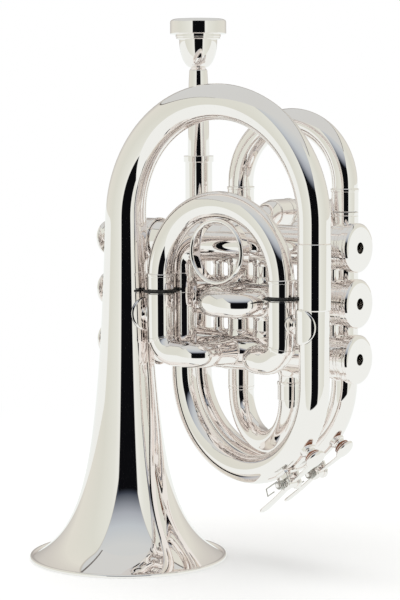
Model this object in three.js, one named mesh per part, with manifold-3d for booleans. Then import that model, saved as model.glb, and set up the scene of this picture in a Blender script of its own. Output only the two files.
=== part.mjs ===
// Pocket trumpet in silver-plated brass, with three piston valves, four slides and two water keys.
// Millimetres, +Z up. The origin is the centre of the bell mouth, in the plane of the rim.
// +Z runs up the bell axis, +X along the valves to their bottom caps, and +Y to the player's right.

import * as THREE from "three";
import { mergeVertices } from "three/addons/utils/BufferGeometryUtils.js";
import Module from "manifold-3d";

const wasm = await Module();
wasm.setup();

// Layout of the whole instrument. Heights are measured from the middle valve's axis.
const bellMouthDrop = 126.2;
const bellBowSpan = 109;
const bellBowCentreZ = 37.5;

// Fits, shared by every soldered and sliding joint
const jointGap = 0.25;
const socketWall = 0.5;
const tenonWall = 0.55;
const tenonLength = 6;
const overrun = 1;

// Facets
const bellSides = 24;
const bellRings = 8;
const bellBowSides = 12;
const bellBowSteps = 10;
const tubeSides = 10;
const bowSteps = 8;
const crookSteps = 6;
const elbowSteps = 3;
const capSides = 14;
const portSides = 8;

// Bell: a horn curve that widens to the rim, which is rolled over into a bead
const bellRimRadius = 47.5;
const bellFlareOffset = 14;
const bellFlareExponent = 0.62;
const bellWall = 0.8;
const rimBeadRadius = 0.9;
const rimLipWidth = 1;
const rimLipHeight = 0.2;

// Bell bow and the right leg under it
const bellBowApexRadius = 8.3;
const bellBowEndRadius = 7.4;
const legStep = 0.2;
const legRadius = bellBowEndRadius + legStep;
const legTopZ = 29.2;
const legBottomZ = -0.8;

// Slide tubes, the same on all four slides
const slideLegRadius = 5.6;
const slideWall = 0.55;
const slideBowStep = 0.45;
const ferruleBeadStep = 0.25;
const ferruleBeadLength = 1.3;
const stopRingStep = 1.8;
const sleeveBore = slideLegRadius + jointGap;
const sleeveRadius = sleeveBore + slideWall;
const slideLegBore = slideLegRadius - slideWall;
const slideBowRadius = slideLegRadius + slideBowStep;
const stopRingRadius = sleeveRadius + stopRingStep;

// Front bottom bow and the riser that carries the bell's air up to the first valve
const frontBowCentreZ = -34.2;
const frontBowInset = 0.7;
const frontBowWideRadius = legRadius - frontBowInset;
const riserRadius = 6;
const riserFerruleStep = 0.3;
const riserFerruleRadius = riserRadius + riserFerruleStep;
const riserFerruleZ = 2.4;
const riserFerruleLength = 9.2;
const riserElbowRadius = 10;
const riserOffsetX = 2.6;
const riserPortX = 67;
const portElbowRadius = 7.2;

// Pistons and valve casings, and the air knuckles and solid spacers between them
const pistonRadius = 8.2;
const pistonTopX = 24;
const pistonBottomX = 88;
const pistonPortXs = [45, 60, 75];
const barrelInset = 0.8;
const barrelRadius = pistonRadius - barrelInset;
const barrelTopX = -9.5;
const casingWall = 1.05;
const casingBoreRadius = pistonRadius + jointGap;
const casingRadius = casingBoreRadius + casingWall;
const casingTopX = -11.7;
const casingBottomX = 109;
const casingClearance = 0.3;
const knuckleRadius = 5.9;
const portRadius = 5.2;
const knuckleXs = [45, 60];
const spacerRadius = 2.5;
const spacerXs = [32, 98];

// Valve caps
const capBoreRadius = casingRadius + jointGap;
const topCapWall = 0.65;
const topCapRadius = capBoreRadius + topCapWall;
const topCapFaceX = -14.5;
const topCapEndX = -4;
const topCapRoundWidth = 2.4;
const topCapRoundLength = 1.6;
const bottomCapFaceX = 113.2;
const bottomCapEndX = 101;
const bottomCapWall = 0.5;
const bottomCapSkirtRadius = capBoreRadius + bottomCapWall;
const bottomCapRingStep = 1;
const bottomCapRadius = bottomCapSkirtRadius + bottomCapRingStep;
const bottomCapRingLength = 3.6;
const bottomCapChamferWidth = 1.15;
const bottomCapChamfer = 1.1;
const capVentRadius = 2.6;
const capBeadStep = 0.35;
const capBeadLength = 1.3;
const capSpacing = 3;
const valvePitch = 2 * bottomCapRadius + capSpacing;

// Stems, finger buttons and piston springs
const stemRadius = 2.9;
const stemRoom = 0.4;
const stemTipX = -35.7;
const buttonTopX = -38.7;
const buttonBottomX = -32.5;
const buttonRadius = 8.25;
const buttonRimWidth = 0.75;
const buttonRimLand = 0.75;
const buttonEdgeHeight = 1;
const buttonRecessDepth = 1.2;
const buttonNeckWall = 0.75;
const buttonNeckLength = 1.9;
const buttonWaistStep = 1.6;
const buttonWaistDrop = 0.8;
const inlayEdgeDrop = 0.6;
const springInset = 1.8;
const springWire = 0.5;
const springTurns = 5;
const springSteps = 8;
const springSides = 4;

// Leadpipe, receiver and back bottom bow
const leadpipeX = 7.2;
const leadpipeRadius = 5.9;
const ferruleStep = 0.5;
const ferruleRadius = leadpipeRadius + ferruleStep;
const ferruleLength = 8.5;
const backTubeStep = 0.5;
const backTubeRadius = slideLegRadius + backTubeStep;
const backBowCentreZ = -38.2;
const backBowJointZ = -30.2;
const backClearance = 0.7;
const riserY = Math.sqrt((stopRingRadius + riserFerruleRadius + jointGap) ** 2 - riserOffsetX ** 2);
const valveAxisY = riserY + riserFerruleRadius + casingClearance + casingRadius;
const backPlaneY = valveAxisY + casingRadius + Math.max(sleeveRadius, ferruleRadius) + backClearance;

// Mouthpiece
const mouthpieceLength = 88.6;
const mouthpieceInsertion = 22;
const rimRadius = 13.7;
const rimRound = 1.6;
const rimHeight = 7.3;
const rimCrestInset = 2.7;
const rimStepInset = 2.7;
const rimStepHeight = 2.5;
const bowlRadius = 9.3;
const neckRadius = 4.4;
const neckDrop = 25;
const waistRadius = 3.4;
const waistHeight = 1.4;
const cupRadius = 7.6;
const rimBiteStep = 0.7;
const cupRimDrop = 2.2;
const cupDepth = 11.5;
const throatRadius = 1.9;
const throatLength = 6;
const shankMouthRadius = 5.35;
const shankEndRadius = 4.8;
const shankBoreRadius = 4.1;
const mouthpieceSides = 16;
const bowlSteps = 3;

// Receiver that holds the mouthpiece's shank
const receiverTopZ = 66.2;
const receiverBottomZ = 31.8;
const receiverWall = 1;
const receiverRadius = shankMouthRadius + jointGap + receiverWall;
const receiverBeadStep = 0.7;
const receiverBeadLength = 3;
const receiverThroatRadius = 4.6;

// First valve slide, which leaves its casing upwards and backwards
const firstSlideXs = [54.6, 78.6];
const firstPortLean = Math.PI / 3;
const firstStubLength = 2;
const firstElbowRadius = 8;
const firstSleeveLength = 9.1;
const firstLegInset = 0.6;
const firstBowReach = 4;
const firstFerruleLength = 4.5;

// Main tuning slide, whose right leg just clears the first valve slide
const tuningClearance = 2;
const tuningLeftX = 33;
const tuningRightX = firstSlideXs[1] + 2 * sleeveRadius + tuningClearance;
const tuningSleeveTopZ = 40.8;
const tuningBowCentreZ = 52.8;
const tuningLegEndZ = -14.2;
const tuningFerruleLength = 10.5;

// Small bottom bow, from the tuning slide's left leg to the third valve
const smallBowCentreZ = -47.2;
const smallBowJointZ = -46.9;
const smallBowPortX = 74.8;

// Second valve slide, which points forwards
const secondSlideXs = [49.6, 74.4];
const secondSleeveLength = 11.7;
const secondLegInset = 1.4;
const secondBowReach = 3.3;
const secondFerruleLength = 4;

// Third valve slide: the small upright bow with the finger ring, braced between the bell and the right leg
const braceZ = -7.7;
const leftBraceLength = 2.8;
const rightBraceLength = 3.9;
const thirdPortXs = [45, 72];
const thirdSleeveTopZ = 2.4;
const thirdElbowRadius = 9;
const thirdFerruleZ = -19.7;
const thirdBowCentreZ = 10.1;
const ringClearance = 1;
const thirdLegEndZ = -16;
const thirdFerruleLength = 7.3;
const stopRingThickness = 1.6;
const stopRingRoundShare = 0.3;
const fingerRingRadius = 15.5;
const fingerRingWall = 2.2;
const fingerRingLength = 7;
const fingerRingRound = 0.9;
const fingerRingSides = 20;

// Braces: a post between two saddles that wrap the tubes
const saddleRadius = 7.4;
const saddleThickness = 0.8;
const bracePostRadius = 2.2;

// Water keys, laid out round the bow that carries them
const keyHingeAngle = THREE.MathUtils.degToRad(58);
const keyNippleAngle = THREE.MathUtils.degToRad(37);
const keyHingeHeight = 4.4;
const nippleHeight = 2.6;
const nippleRadius = 2.9;
const nippleBoreRadius = 1.4;
const nippleFlangeWidth = 0.8;
const nippleFlangeHeight = 0.9;
const corkRadius = 3.8;
const corkHeight = 2.6;
const corkProud = 1;
const cupWall = 0.8;
const cupRoof = 1.3;
const hubRadius = 2.3;
const hubWidth = 4.6;
const pinRadius = 0.95;
const pinHeadLength = 0.9;
const earThickness = 1.1;
const earRadius = 2.3;
const saddleBaseLength = 9;
const saddleBaseTop = 2.7;
const leverThickness = 1.5;
const leverTipReach = 25;
const leverTipRise = 3.4;
const leverSag = 2.2;
const leverTipWidth = 7.6;
const leverWaistWidth = 4.2;
const keySpringRadius = 1.75;
const keySpringWire = 0.3;
const keySpringTurns = 3;
const keySpringPitch = 1.15;
const keySpringLeg = 8;

// Materials
const silver = new THREE.MeshStandardMaterial({ color: 0xeae6df, roughness: 0.1, metalness: 1 });
const spring = new THREE.MeshStandardMaterial({ color: 0xb9b4a8, roughness: 0.3, metalness: 1 });
const monel = new THREE.MeshStandardMaterial({ color: 0xc9c6bf, roughness: 0.25, metalness: 1 });
const rubber = new THREE.MeshStandardMaterial({ color: 0x141414, roughness: 0.7, metalness: 0 });
const cork = new THREE.MeshStandardMaterial({ color: 0x9c5a3c, roughness: 0.9, metalness: 0 });
const pearl = new THREE.MeshStandardMaterial({ color: 0xf4f1ea, roughness: 0.25, metalness: 0 });

const xAxis = new THREE.Vector3(1, 0, 0);
const yAxis = new THREE.Vector3(0, 1, 0);
const zAxis = new THREE.Vector3(0, 0, 1);
const up = zAxis;
const down = zAxis.clone().negate();
const forward = yAxis.clone().negate();
const samePlaceShare = 1e-4;
const samePlace = jointGap * samePlaceShare;

// Mesh helpers

// The six-fold volume of an indexed geometry, which is negative when its faces point inwards.
function signedVolume(positions, index) {
  const a = new THREE.Vector3();
  const b = new THREE.Vector3();
  const c = new THREE.Vector3();
  let volume = 0;
  for (let i = 0; i < index.length; i += 3) {
    a.fromArray(positions, 3 * index[i]);
    b.fromArray(positions, 3 * index[i + 1]);
    c.fromArray(positions, 3 * index[i + 2]);
    volume += a.dot(b.cross(c));
  }
  return volume;
}

// A geometry with shared vertices, no collapsed faces, and every face pointing outwards.
function closed(geometry) {
  const bare = new THREE.BufferGeometry();
  bare.setAttribute("position", geometry.getAttribute("position"));
  bare.setIndex(geometry.index);
  const merged = mergeVertices(bare, samePlace);
  const faces = [];
  const index = merged.index.array;
  for (let i = 0; i < index.length; i += 3) {
    const [a, b, c] = [index[i], index[i + 1], index[i + 2]];
    if (a !== b && b !== c && c !== a) {
      faces.push(a, b, c);
    }
  }
  if (signedVolume(merged.getAttribute("position").array, faces) < 0) {
    faces.reverse();
  }
  merged.setIndex(faces);
  return merged;
}

function toSolid(geometry) {
  const merged = closed(geometry);
  return new wasm.Manifold(
    new wasm.Mesh({
      numProp: 3,
      vertProperties: new Float32Array(merged.getAttribute("position").array),
      triVerts: new Uint32Array(merged.index.array),
    }),
  );
}

function toGeometry(solid) {
  const mesh = solid.getMesh();
  const geometry = new THREE.BufferGeometry();
  geometry.setAttribute("position", new THREE.BufferAttribute(mesh.vertProperties, 3));
  geometry.setIndex(new THREE.BufferAttribute(mesh.triVerts, 1));
  return geometry;
}

// A profile of [radius, height] points turned round Z. It starts and ends on the axis, or closes on itself.
function turned(points, sides) {
  const profile = points.map(([radius, height]) => new THREE.Vector2(radius, height));
  if (points[0][0] > 0) {
    profile.push(profile[0].clone());
  }
  const geometry = new THREE.LatheGeometry(profile, sides);
  geometry.rotateX(Math.PI / 2);
  return closed(geometry);
}

function cylinder(radius, from, to, sides = portSides) {
  const reach = new THREE.Vector3().subVectors(to, from);
  const geometry = new THREE.CylinderGeometry(radius, radius, reach.length(), sides);
  geometry.applyQuaternion(new THREE.Quaternion().setFromUnitVectors(yAxis, reach.clone().normalize()));
  geometry.translate(from.x + reach.x / 2, from.y + reach.y / 2, from.z + reach.z / 2);
  return geometry;
}

// Routes of tubes

// The centre line of a tube: straight runs and round bends, one after the other. facing turns its facets.
class Route {
  constructor(at, heading, facing) {
    this.runs = [];
    this.stops = [0];
    this.length = 0;
    const reference = facing ?? (Math.abs(heading.x) < Math.SQRT1_2 ? xAxis : yAxis);
    const side = reference.clone().addScaledVector(heading, -reference.dot(heading)).normalize();
    this.tip = { at: at.clone(), heading: heading.clone().normalize(), side };
  }

  add(run, stops) {
    this.runs.push(run);
    const start = this.length;
    stops.forEach((stop) => this.stops.push(start + stop));
    this.length += run.length;
    this.tip = this.place(this.length);
    return this;
  }

  straight(length) {
    return this.add({ from: this.length, length, start: this.tip }, [length]);
  }

  bend(radius, angle, towards, steps = elbowSteps) {
    const length = radius * angle;
    const stops = Array.from({ length: steps }, (_, i) => (length * (i + 1)) / steps);
    return this.add({ from: this.length, length, start: this.tip, radius, towards }, stops);
  }

  // The point, heading and sideways direction at a distance along the route.
  place(along) {
    const run = this.runs.findLast((r) => along >= r.from - samePlace) ?? this.runs[0];
    const { at, heading, side } = run.start;
    const past = along - run.from;
    if (!run.radius) {
      return { at: at.clone().addScaledVector(heading, past), heading, side };
    }
    const angle = past / run.radius;
    const axis = new THREE.Vector3().crossVectors(heading, run.towards).normalize();
    return {
      at: at
        .clone()
        .addScaledVector(run.towards, run.radius * (1 - Math.cos(angle)))
        .addScaledVector(heading, run.radius * Math.sin(angle)),
      heading: heading.clone().applyAxisAngle(axis, angle),
      side: side.clone().applyAxisAngle(axis, angle),
    };
  }
}

// A wall's radius at a distance, from knots of [distance, radius].
function radiusAt(knots, along) {
  const next = knots.findIndex(([distance]) => distance >= along);
  if (next <= 0) {
    return next === 0 ? knots[0][1] : knots.at(-1)[1];
  }
  const [fromDistance, fromRadius] = knots[next - 1];
  const [toDistance, toRadius] = knots[next];
  const share = (along - fromDistance) / (toDistance - fromDistance);
  return fromRadius + share * (toRadius - fromRadius);
}

// Rings of points round the route, one at each stop and knot; two knots at one place make a step.
function wallRings(route, radius, sides) {
  const knots = Array.isArray(radius)
    ? radius
    : [
        [0, radius],
        [route.length, radius],
      ];
  const free = route.stops.filter((stop) => knots.every(([d]) => Math.abs(d - stop) > jointGap / 2));
  const stations = [...knots, ...free.map((stop) => [stop, radiusAt(knots, stop)])];
  stations.sort((a, b) => a[0] - b[0]);
  return stations.map(([along, ringRadius]) => {
    const { at, heading, side } = route.place(along);
    const other = new THREE.Vector3().crossVectors(heading, side);
    return Array.from({ length: sides }, (_, i) => {
      const angle = (2 * Math.PI * i) / sides;
      return at
        .clone()
        .addScaledVector(side, ringRadius * Math.cos(angle))
        .addScaledVector(other, ringRadius * Math.sin(angle));
    });
  });
}

// A surface over rings of points. It joins the last ring to the first, or closes each end with a face.
function skin(rings, joined) {
  const sides = rings[0].length;
  const faces = [];
  const pairs = joined ? rings.length : rings.length - 1;
  for (let r = 0; r < pairs; r++) {
    const here = r * sides;
    const there = ((r + 1) % rings.length) * sides;
    for (let i = 0; i < sides; i++) {
      const j = (i + 1) % sides;
      faces.push(here + i, here + j, there + j, here + i, there + j, there + i);
    }
  }
  if (!joined) {
    const last = (rings.length - 1) * sides;
    for (let i = 1; i < sides - 1; i++) {
      faces.push(0, i + 1, i, last, last + i, last + i + 1);
    }
  }
  const geometry = new THREE.BufferGeometry().setFromPoints(rings.flat());
  geometry.setIndex(faces);
  return closed(geometry);
}

// Knots of a ferrule that ends in a bead, where the tube steps down to the radius that follows.
function beaded(from, to, radius, nextRadius) {
  return [
    [from, radius],
    [to - ferruleBeadLength, radius],
    [to - ferruleBeadLength, radius + ferruleBeadStep],
    [to, radius + ferruleBeadStep],
    [to, nextRadius],
  ];
}

// A tube along a route. outer and bore are one radius or knots of [distance, radius]; no bore is a rod.
function tube(route, outer, bore, sides = tubeSides) {
  const rings = wallRings(route, outer, sides);
  if (bore) {
    rings.push(...wallRings(route, bore, sides).reverse());
  }
  return skin(rings, Boolean(bore));
}

// A socket's bore in a tube of the given outer radius, and what the tenon in a socket measures.
const socketBore = (outer) => outer - socketWall;
const tenonRadius = (bore) => bore - jointGap;
const tenonBore = (bore) => tenonRadius(bore) - tenonWall;

// Pieces

const trumpet = new THREE.Group();
trumpet.position.z = bellMouthDrop;

function place(name, geometry, material, parent = trumpet) {
  const mesh = new THREE.Mesh(geometry, material);
  mesh.name = name;
  parent.add(mesh);
  return mesh;
}

const point = (x, y, z) => new THREE.Vector3(x, y, z);

function bellRadius(z) {
  const fromVertex = z + bellMouthDrop + bellFlareOffset;
  return bellRimRadius * (bellFlareOffset / fromVertex) ** bellFlareExponent;
}

const thirdLeftX = bellRadius(braceZ) + leftBraceLength + sleeveRadius;
const riserX = thirdLeftX + riserOffsetX;
const thirdRightX = bellBowSpan - legRadius - rightBraceLength - sleeveRadius;
const thirdBowSpan = thirdRightX - thirdLeftX;

function bell() {
  const beadCentre = bellRimRadius - rimBeadRadius;
  const mouthZ = -bellMouthDrop;
  const flareBottom = mouthZ + 2 * rimBeadRadius;
  const outer = [];
  const inner = [];
  for (let i = 0; i <= bellRings; i++) {
    const share = (i / bellRings) ** 2;
    const z = flareBottom + (bellBowCentreZ - flareBottom) * share;
    const radius = bellRadius(z);
    const slope = (bellFlareExponent * radius) / (z - mouthZ + bellFlareOffset);
    const normal = Math.hypot(1, slope);
    outer.push([radius, z]);
    inner.push([radius - bellWall / normal, i === bellRings ? z : z - (bellWall * slope) / normal]);
  }
  const bead = [-90, -30, 30, 90].map((degrees) => {
    const angle = THREE.MathUtils.degToRad(degrees);
    const bulge = rimBeadRadius * Math.cos(angle);
    return [beadCentre + bulge, mouthZ + rimBeadRadius * (1 + Math.sin(angle))];
  });
  const lip = [beadCentre - rimLipWidth, mouthZ + rimLipHeight];
  place("bell", turned([lip, ...bead, ...outer, ...inner.reverse()], bellSides), silver);
}

const bellBowRadius = bellBowSpan / 2;
const legSocket = socketBore(legRadius);
const riserSocket = socketBore(riserFerruleRadius);
const ferruleSocket = socketBore(ferruleRadius);
const receiverSocket = socketBore(receiverRadius);

function bellBow() {
  const route = new Route(point(0, 0, bellBowCentreZ), up)
    .bend(bellBowRadius, Math.PI, xAxis, bellBowSteps)
    .straight(bellBowCentreZ - legTopZ + tenonLength);
  const curve = Math.PI * bellBowRadius;
  const shoulder = route.length - tenonLength - jointGap;
  const startRadius = bellRadius(bellBowCentreZ);
  const outer = [
    [0, startRadius],
    [curve / 2, bellBowApexRadius],
    [curve, bellBowEndRadius],
    [shoulder, bellBowEndRadius],
    [shoulder, tenonRadius(legSocket)],
    [route.length, tenonRadius(legSocket)],
  ];
  const bore = [
    [0, startRadius - bellWall],
    [curve, tenonBore(legSocket)],
    [route.length, tenonBore(legSocket)],
  ];
  place("bell_bow", tube(route, outer, bore, bellBowSides), silver);
}

function bellLeg() {
  const length = legTopZ - legBottomZ;
  const route = new Route(point(bellBowSpan, 0, legTopZ), down).straight(length);
  const socket = tenonLength + jointGap;
  const bore = [
    [0, legSocket],
    [socket, legSocket],
    [socket, tenonBore(legSocket)],
    [length - socket, tenonBore(legSocket)],
    [length - socket, legSocket],
    [length, legSocket],
  ];
  place("bell_leg", tube(route, legRadius, bore, bellBowSides), silver);
}

// The centre line of a bottom bow, from inside the socket above one end to inside that above the other.
function bottomBowRoute({ from, to, centreZ, jointZs, steps }) {
  const across = new THREE.Vector3().subVectors(to, from);
  return new Route(from.clone().setZ(jointZs[0] + tenonLength), down)
    .straight(jointZs[0] + tenonLength - centreZ)
    .bend(across.length() / 2, Math.PI, across.clone().normalize(), steps)
    .straight(jointZs[1] + tenonLength - centreZ);
}

// A bottom bow with a tenon at each end, for sockets of the given bores.
function bottomBow(route, radii, sockets) {
  const firstShoulder = tenonLength + jointGap;
  const lastShoulder = route.length - firstShoulder;
  const bendStart = Math.max(route.runs[1].from, firstShoulder + jointGap);
  const bendEnd = Math.min(route.runs[2].from, lastShoulder - jointGap);
  const outer = [
    [0, tenonRadius(sockets[0])],
    [firstShoulder, tenonRadius(sockets[0])],
    [firstShoulder, radii[0]],
    [bendStart, radii[0]],
    [bendEnd, radii[1]],
    [lastShoulder, radii[1]],
    [lastShoulder, tenonRadius(sockets[1])],
    [route.length, tenonRadius(sockets[1])],
  ];
  const bore = [
    [0, tenonBore(sockets[0])],
    [bendStart, tenonBore(sockets[0])],
    [bendEnd, tenonBore(sockets[1])],
    [route.length, tenonBore(sockets[1])],
  ];
  return tube(route, outer, bore);
}

const frontBowRoute = bottomBowRoute({
  from: point(bellBowSpan, 0, 0),
  to: point(riserX, riserY, 0),
  centreZ: frontBowCentreZ,
  jointZs: [legBottomZ, riserFerruleZ],
  steps: bowSteps,
});

const backBowRoute = bottomBowRoute({
  from: point(leadpipeX, backPlaneY, 0),
  to: point(tuningRightX, backPlaneY, 0),
  centreZ: backBowCentreZ,
  jointZs: [backBowJointZ, backBowJointZ],
  steps: bowSteps,
});

const smallBowRoute = bottomBowRoute({
  from: point(tuningLeftX, backPlaneY, 0),
  to: point(smallBowPortX, valveAxisY, 0),
  centreZ: smallBowCentreZ,
  jointZs: [smallBowJointZ, smallBowJointZ],
  steps: crookSteps,
});

function bottomBows() {
  const front = bottomBow(frontBowRoute, [frontBowWideRadius, riserRadius], [legSocket, riserSocket]);
  const back = bottomBow(backBowRoute, [leadpipeRadius, backTubeRadius], [ferruleSocket, sleeveBore]);
  const small = bottomBow(smallBowRoute, [backTubeRadius, leadpipeRadius], [sleeveBore, ferruleSocket]);
  place("front_bottom_bow", front, silver);
  place("back_bottom_bow", back, silver);
  place("small_bottom_bow", small, silver);
}

// Valves

const valveZs = [valvePitch, 0, -valvePitch];

// A solid cylinder round one valve's axis, with the same facets as its casing.
function valveCore(valveZ, radius, fromX = casingTopX - overrun, toX = casingBottomX + overrun) {
  const profile = [
    [0, fromX],
    [radius, fromX],
    [radius, toX],
    [0, toX],
  ];
  const geometry = turned(profile, capSides);
  geometry.rotateY(Math.PI / 2);
  geometry.translate(0, valveAxisY, valveZ);
  return toSolid(geometry);
}

// The end of a tube, cut to lie on a casing.
function seatedOn(valveZ, geometry) {
  return toGeometry(toSolid(geometry).subtract(valveCore(valveZ, casingRadius + jointGap)));
}

function portDrill(valveZ, x, heading, radius = portRadius, reach = valvePitch / 2) {
  const from = point(x, valveAxisY, valveZ);
  return toSolid(cylinder(radius, from, from.clone().addScaledVector(heading, reach)));
}

const firstPortHeading = point(0, Math.cos(firstPortLean), Math.sin(firstPortLean));

const casingPorts = [
  [
    ...knuckleXs.map((x) => [x, down]),
    ...firstSlideXs.map((x) => [x, firstPortHeading]),
    [riserPortX, forward],
  ],
  [...secondSlideXs.map((x) => [x, forward])],
  [...knuckleXs.map((x) => [x, up]), ...thirdPortXs.map((x) => [x, forward]), [smallBowPortX, down]],
];

function valveCasing(number) {
  const valveZ = valveZs[number];
  let casing = valveCore(valveZ, casingRadius, casingTopX, casingBottomX);
  if (number === 1) {
    for (const [heading, neighbourZ] of [
      [up, valveZs[0]],
      [down, valveZs[2]],
    ]) {
      const neighbour = valveCore(neighbourZ, casingRadius + jointGap);
      for (const x of knuckleXs) {
        const knuckle = portDrill(valveZ, x, heading, knuckleRadius, valvePitch);
        casing = casing.add(knuckle.subtract(neighbour));
        casing = casing.subtract(portDrill(valveZ, x, heading, portRadius, valvePitch));
      }
      for (const x of spacerXs) {
        const spacer = portDrill(valveZ, x, heading, spacerRadius, valvePitch);
        casing = casing.add(spacer.subtract(neighbour));
      }
    }
  }
  for (const [x, heading] of casingPorts[number]) {
    casing = casing.subtract(portDrill(valveZ, x, heading));
  }
  casing = casing.subtract(valveCore(valveZ, casingBoreRadius));
  place(`valve_casing_${number + 1}`, toGeometry(casing), silver);
}

function topCap() {
  const roof = casingTopX - jointGap;
  const stemHoleRadius = stemRadius + stemRoom;
  return turned(
    [
      [stemHoleRadius, topCapFaceX],
      [topCapRadius - topCapRoundWidth, topCapFaceX],
      [topCapRadius, topCapFaceX + topCapRoundLength],
      [topCapRadius, topCapEndX - capBeadLength],
      [topCapRadius + capBeadStep, topCapEndX - capBeadLength],
      [topCapRadius + capBeadStep, topCapEndX],
      [capBoreRadius, topCapEndX],
      [capBoreRadius, roof],
      [stemHoleRadius, roof],
    ],
    capSides,
  );
}

function bottomCap() {
  const shoulder = casingBottomX + jointGap;
  const ringEnd = bottomCapFaceX - bottomCapChamfer - bottomCapRingLength;
  return turned(
    [
      [capVentRadius, bottomCapFaceX],
      [bottomCapRadius - bottomCapChamferWidth, bottomCapFaceX],
      [bottomCapRadius, bottomCapFaceX - bottomCapChamfer],
      [bottomCapRadius, ringEnd],
      [bottomCapSkirtRadius, ringEnd],
      [bottomCapSkirtRadius, bottomCapEndX + capBeadLength],
      [bottomCapSkirtRadius + capBeadStep, bottomCapEndX + capBeadLength],
      [bottomCapSkirtRadius + capBeadStep, bottomCapEndX],
      [capBoreRadius, bottomCapEndX],
      [capBoreRadius, shoulder],
      [capVentRadius, shoulder],
    ],
    capSides,
  );
}

// A piston with its barrel and stem, drilled across by its air passages.
function piston() {
  let solid = toSolid(
    turned(
      [
        [0, stemTipX],
        [stemRadius, stemTipX],
        [stemRadius, barrelTopX],
        [barrelRadius, barrelTopX],
        [barrelRadius, pistonTopX],
        [pistonRadius, pistonTopX],
        [pistonRadius, pistonBottomX],
        [0, pistonBottomX],
      ],
      capSides,
    ),
  );
  pistonPortXs.forEach((x, i) => {
    const across = (i % 2 ? xAxis : yAxis).clone().multiplyScalar(pistonRadius + overrun);
    const middle = point(0, 0, x);
    const drill = cylinder(portRadius, middle.clone().sub(across), middle.clone().add(across));
    solid = solid.subtract(toSolid(drill));
  });
  return toGeometry(solid);
}

const buttonRecessRadius = buttonRadius - buttonRimWidth - buttonRimLand;

function fingerButton() {
  const floor = buttonTopX + buttonRecessDepth;
  const waist = buttonBottomX - buttonNeckLength;
  const socket = stemRadius + jointGap;
  const neck = socket + buttonNeckWall;
  const socketEnd = stemTipX - jointGap;
  const edge = buttonTopX + buttonRimWidth;
  return turned(
    [
      [0, floor],
      [buttonRecessRadius, floor],
      [buttonRecessRadius, buttonTopX],
      [buttonRadius - buttonRimWidth, buttonTopX],
      [buttonRadius, edge],
      [buttonRadius, edge + buttonEdgeHeight],
      [neck + buttonWaistStep, waist - buttonWaistDrop],
      [neck, waist],
      [neck, buttonBottomX],
      [socket, buttonBottomX],
      [socket, socketEnd],
      [0, socketEnd],
    ],
    capSides,
  );
}

function buttonInlay() {
  const radius = buttonRecessRadius - jointGap;
  const floor = buttonTopX + buttonRecessDepth - jointGap;
  return turned(
    [
      [0, floor],
      [radius, floor],
      [radius, buttonTopX + inlayEdgeDrop],
      [radius - inlayEdgeDrop, buttonTopX],
      [0, buttonTopX],
    ],
    capSides,
  );
}

// A wire along a list of points, as one closed tube.
function wire(points, radius, sides) {
  const rings = points.map((at, i) => {
    const before = points[Math.max(i - 1, 0)];
    const after = points[Math.min(i + 1, points.length - 1)];
    return { at, heading: new THREE.Vector3().subVectors(after, before).normalize() };
  });
  let side = Math.abs(rings[0].heading.x) < Math.SQRT1_2 ? xAxis : yAxis;
  const loops = rings.map(({ at, heading }) => {
    side = side.clone().addScaledVector(heading, -side.dot(heading)).normalize();
    const other = new THREE.Vector3().crossVectors(heading, side);
    return Array.from({ length: sides }, (_, i) => {
      const angle = (2 * Math.PI * i) / sides;
      return at
        .clone()
        .addScaledVector(side, radius * Math.cos(angle))
        .addScaledVector(other, radius * Math.sin(angle));
    });
  });
  return skin(loops, false);
}

// The least gap of a wire to itself, leaving out points closer than half a turn along it.
function leastGap(points, radius, turnSteps) {
  let least = Infinity;
  for (let i = 0; i < points.length; i++) {
    for (let j = i + Math.round(turnSteps / 2); j < points.length; j++) {
      least = Math.min(least, points[i].distanceTo(points[j]) - 2 * radius);
    }
  }
  return least;
}

function pistonSpring() {
  const radius = pistonRadius - springInset;
  const from = pistonBottomX + jointGap + springWire;
  const to = casingBottomX - springWire;
  const steps = springTurns * springSteps;
  const points = Array.from({ length: steps + 1 }, (_, i) => {
    const angle = (2 * Math.PI * i) / springSteps;
    const height = from + ((to - from) * i) / steps;
    return point(radius * Math.cos(angle), radius * Math.sin(angle), height);
  });
  console.log("least gap in a piston spring, mm:", leastGap(points, springWire, springSteps).toFixed(2));
  return wire(points, springWire, springSides);
}

function valves() {
  const cap = topCap();
  const bottom = bottomCap();
  const pistonShape = piston();
  const button = fingerButton();
  const inlay = buttonInlay();
  const coil = pistonSpring();
  valveZs.forEach((valveZ, number) => {
    valveCasing(number);
    const valve = new THREE.Group();
    valve.position.set(0, valveAxisY, valveZ);
    valve.rotation.y = Math.PI / 2;
    trumpet.add(valve);
    const suffix = number + 1;
    place(`top_cap_${suffix}`, cap, silver, valve);
    place(`bottom_cap_${suffix}`, bottom, silver, valve);
    place(`piston_${suffix}`, pistonShape, monel, valve);
    place(`finger_button_${suffix}`, button, silver, valve);
    place(`button_inlay_${suffix}`, inlay, pearl, valve);
    place(`piston_spring_${suffix}`, coil, spring, valve);
  });
}

// The riser takes the bell's air from the front bow up into the first valve.
function bellRiser() {
  const [valveZ] = valveZs;
  const climb = valveZ - riserElbowRadius - riserFerruleZ;
  const run = riserPortX - riserX - riserElbowRadius - portElbowRadius;
  const route = new Route(point(riserX, riserY, riserFerruleZ), up, frontBowRoute.tip.side)
    .straight(climb)
    .bend(riserElbowRadius, Math.PI / 2, xAxis)
    .straight(run)
    .bend(portElbowRadius, Math.PI / 2, yAxis)
    .straight(valveAxisY - riserY - portElbowRadius - casingBoreRadius / 2);
  const socket = tenonLength + jointGap;
  const outer = [
    [0, riserFerruleRadius],
    [riserFerruleLength, riserFerruleRadius],
    [riserFerruleLength, riserRadius],
    [route.length, riserRadius],
  ];
  const bore = [
    [0, riserSocket],
    [socket, riserSocket],
    [socket, tenonBore(riserSocket)],
    [route.length, tenonBore(riserSocket)],
  ];
  place("bell_riser", seatedOn(valveZ, tube(route, outer, bore)), silver);
}

// Leadpipe side

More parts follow.
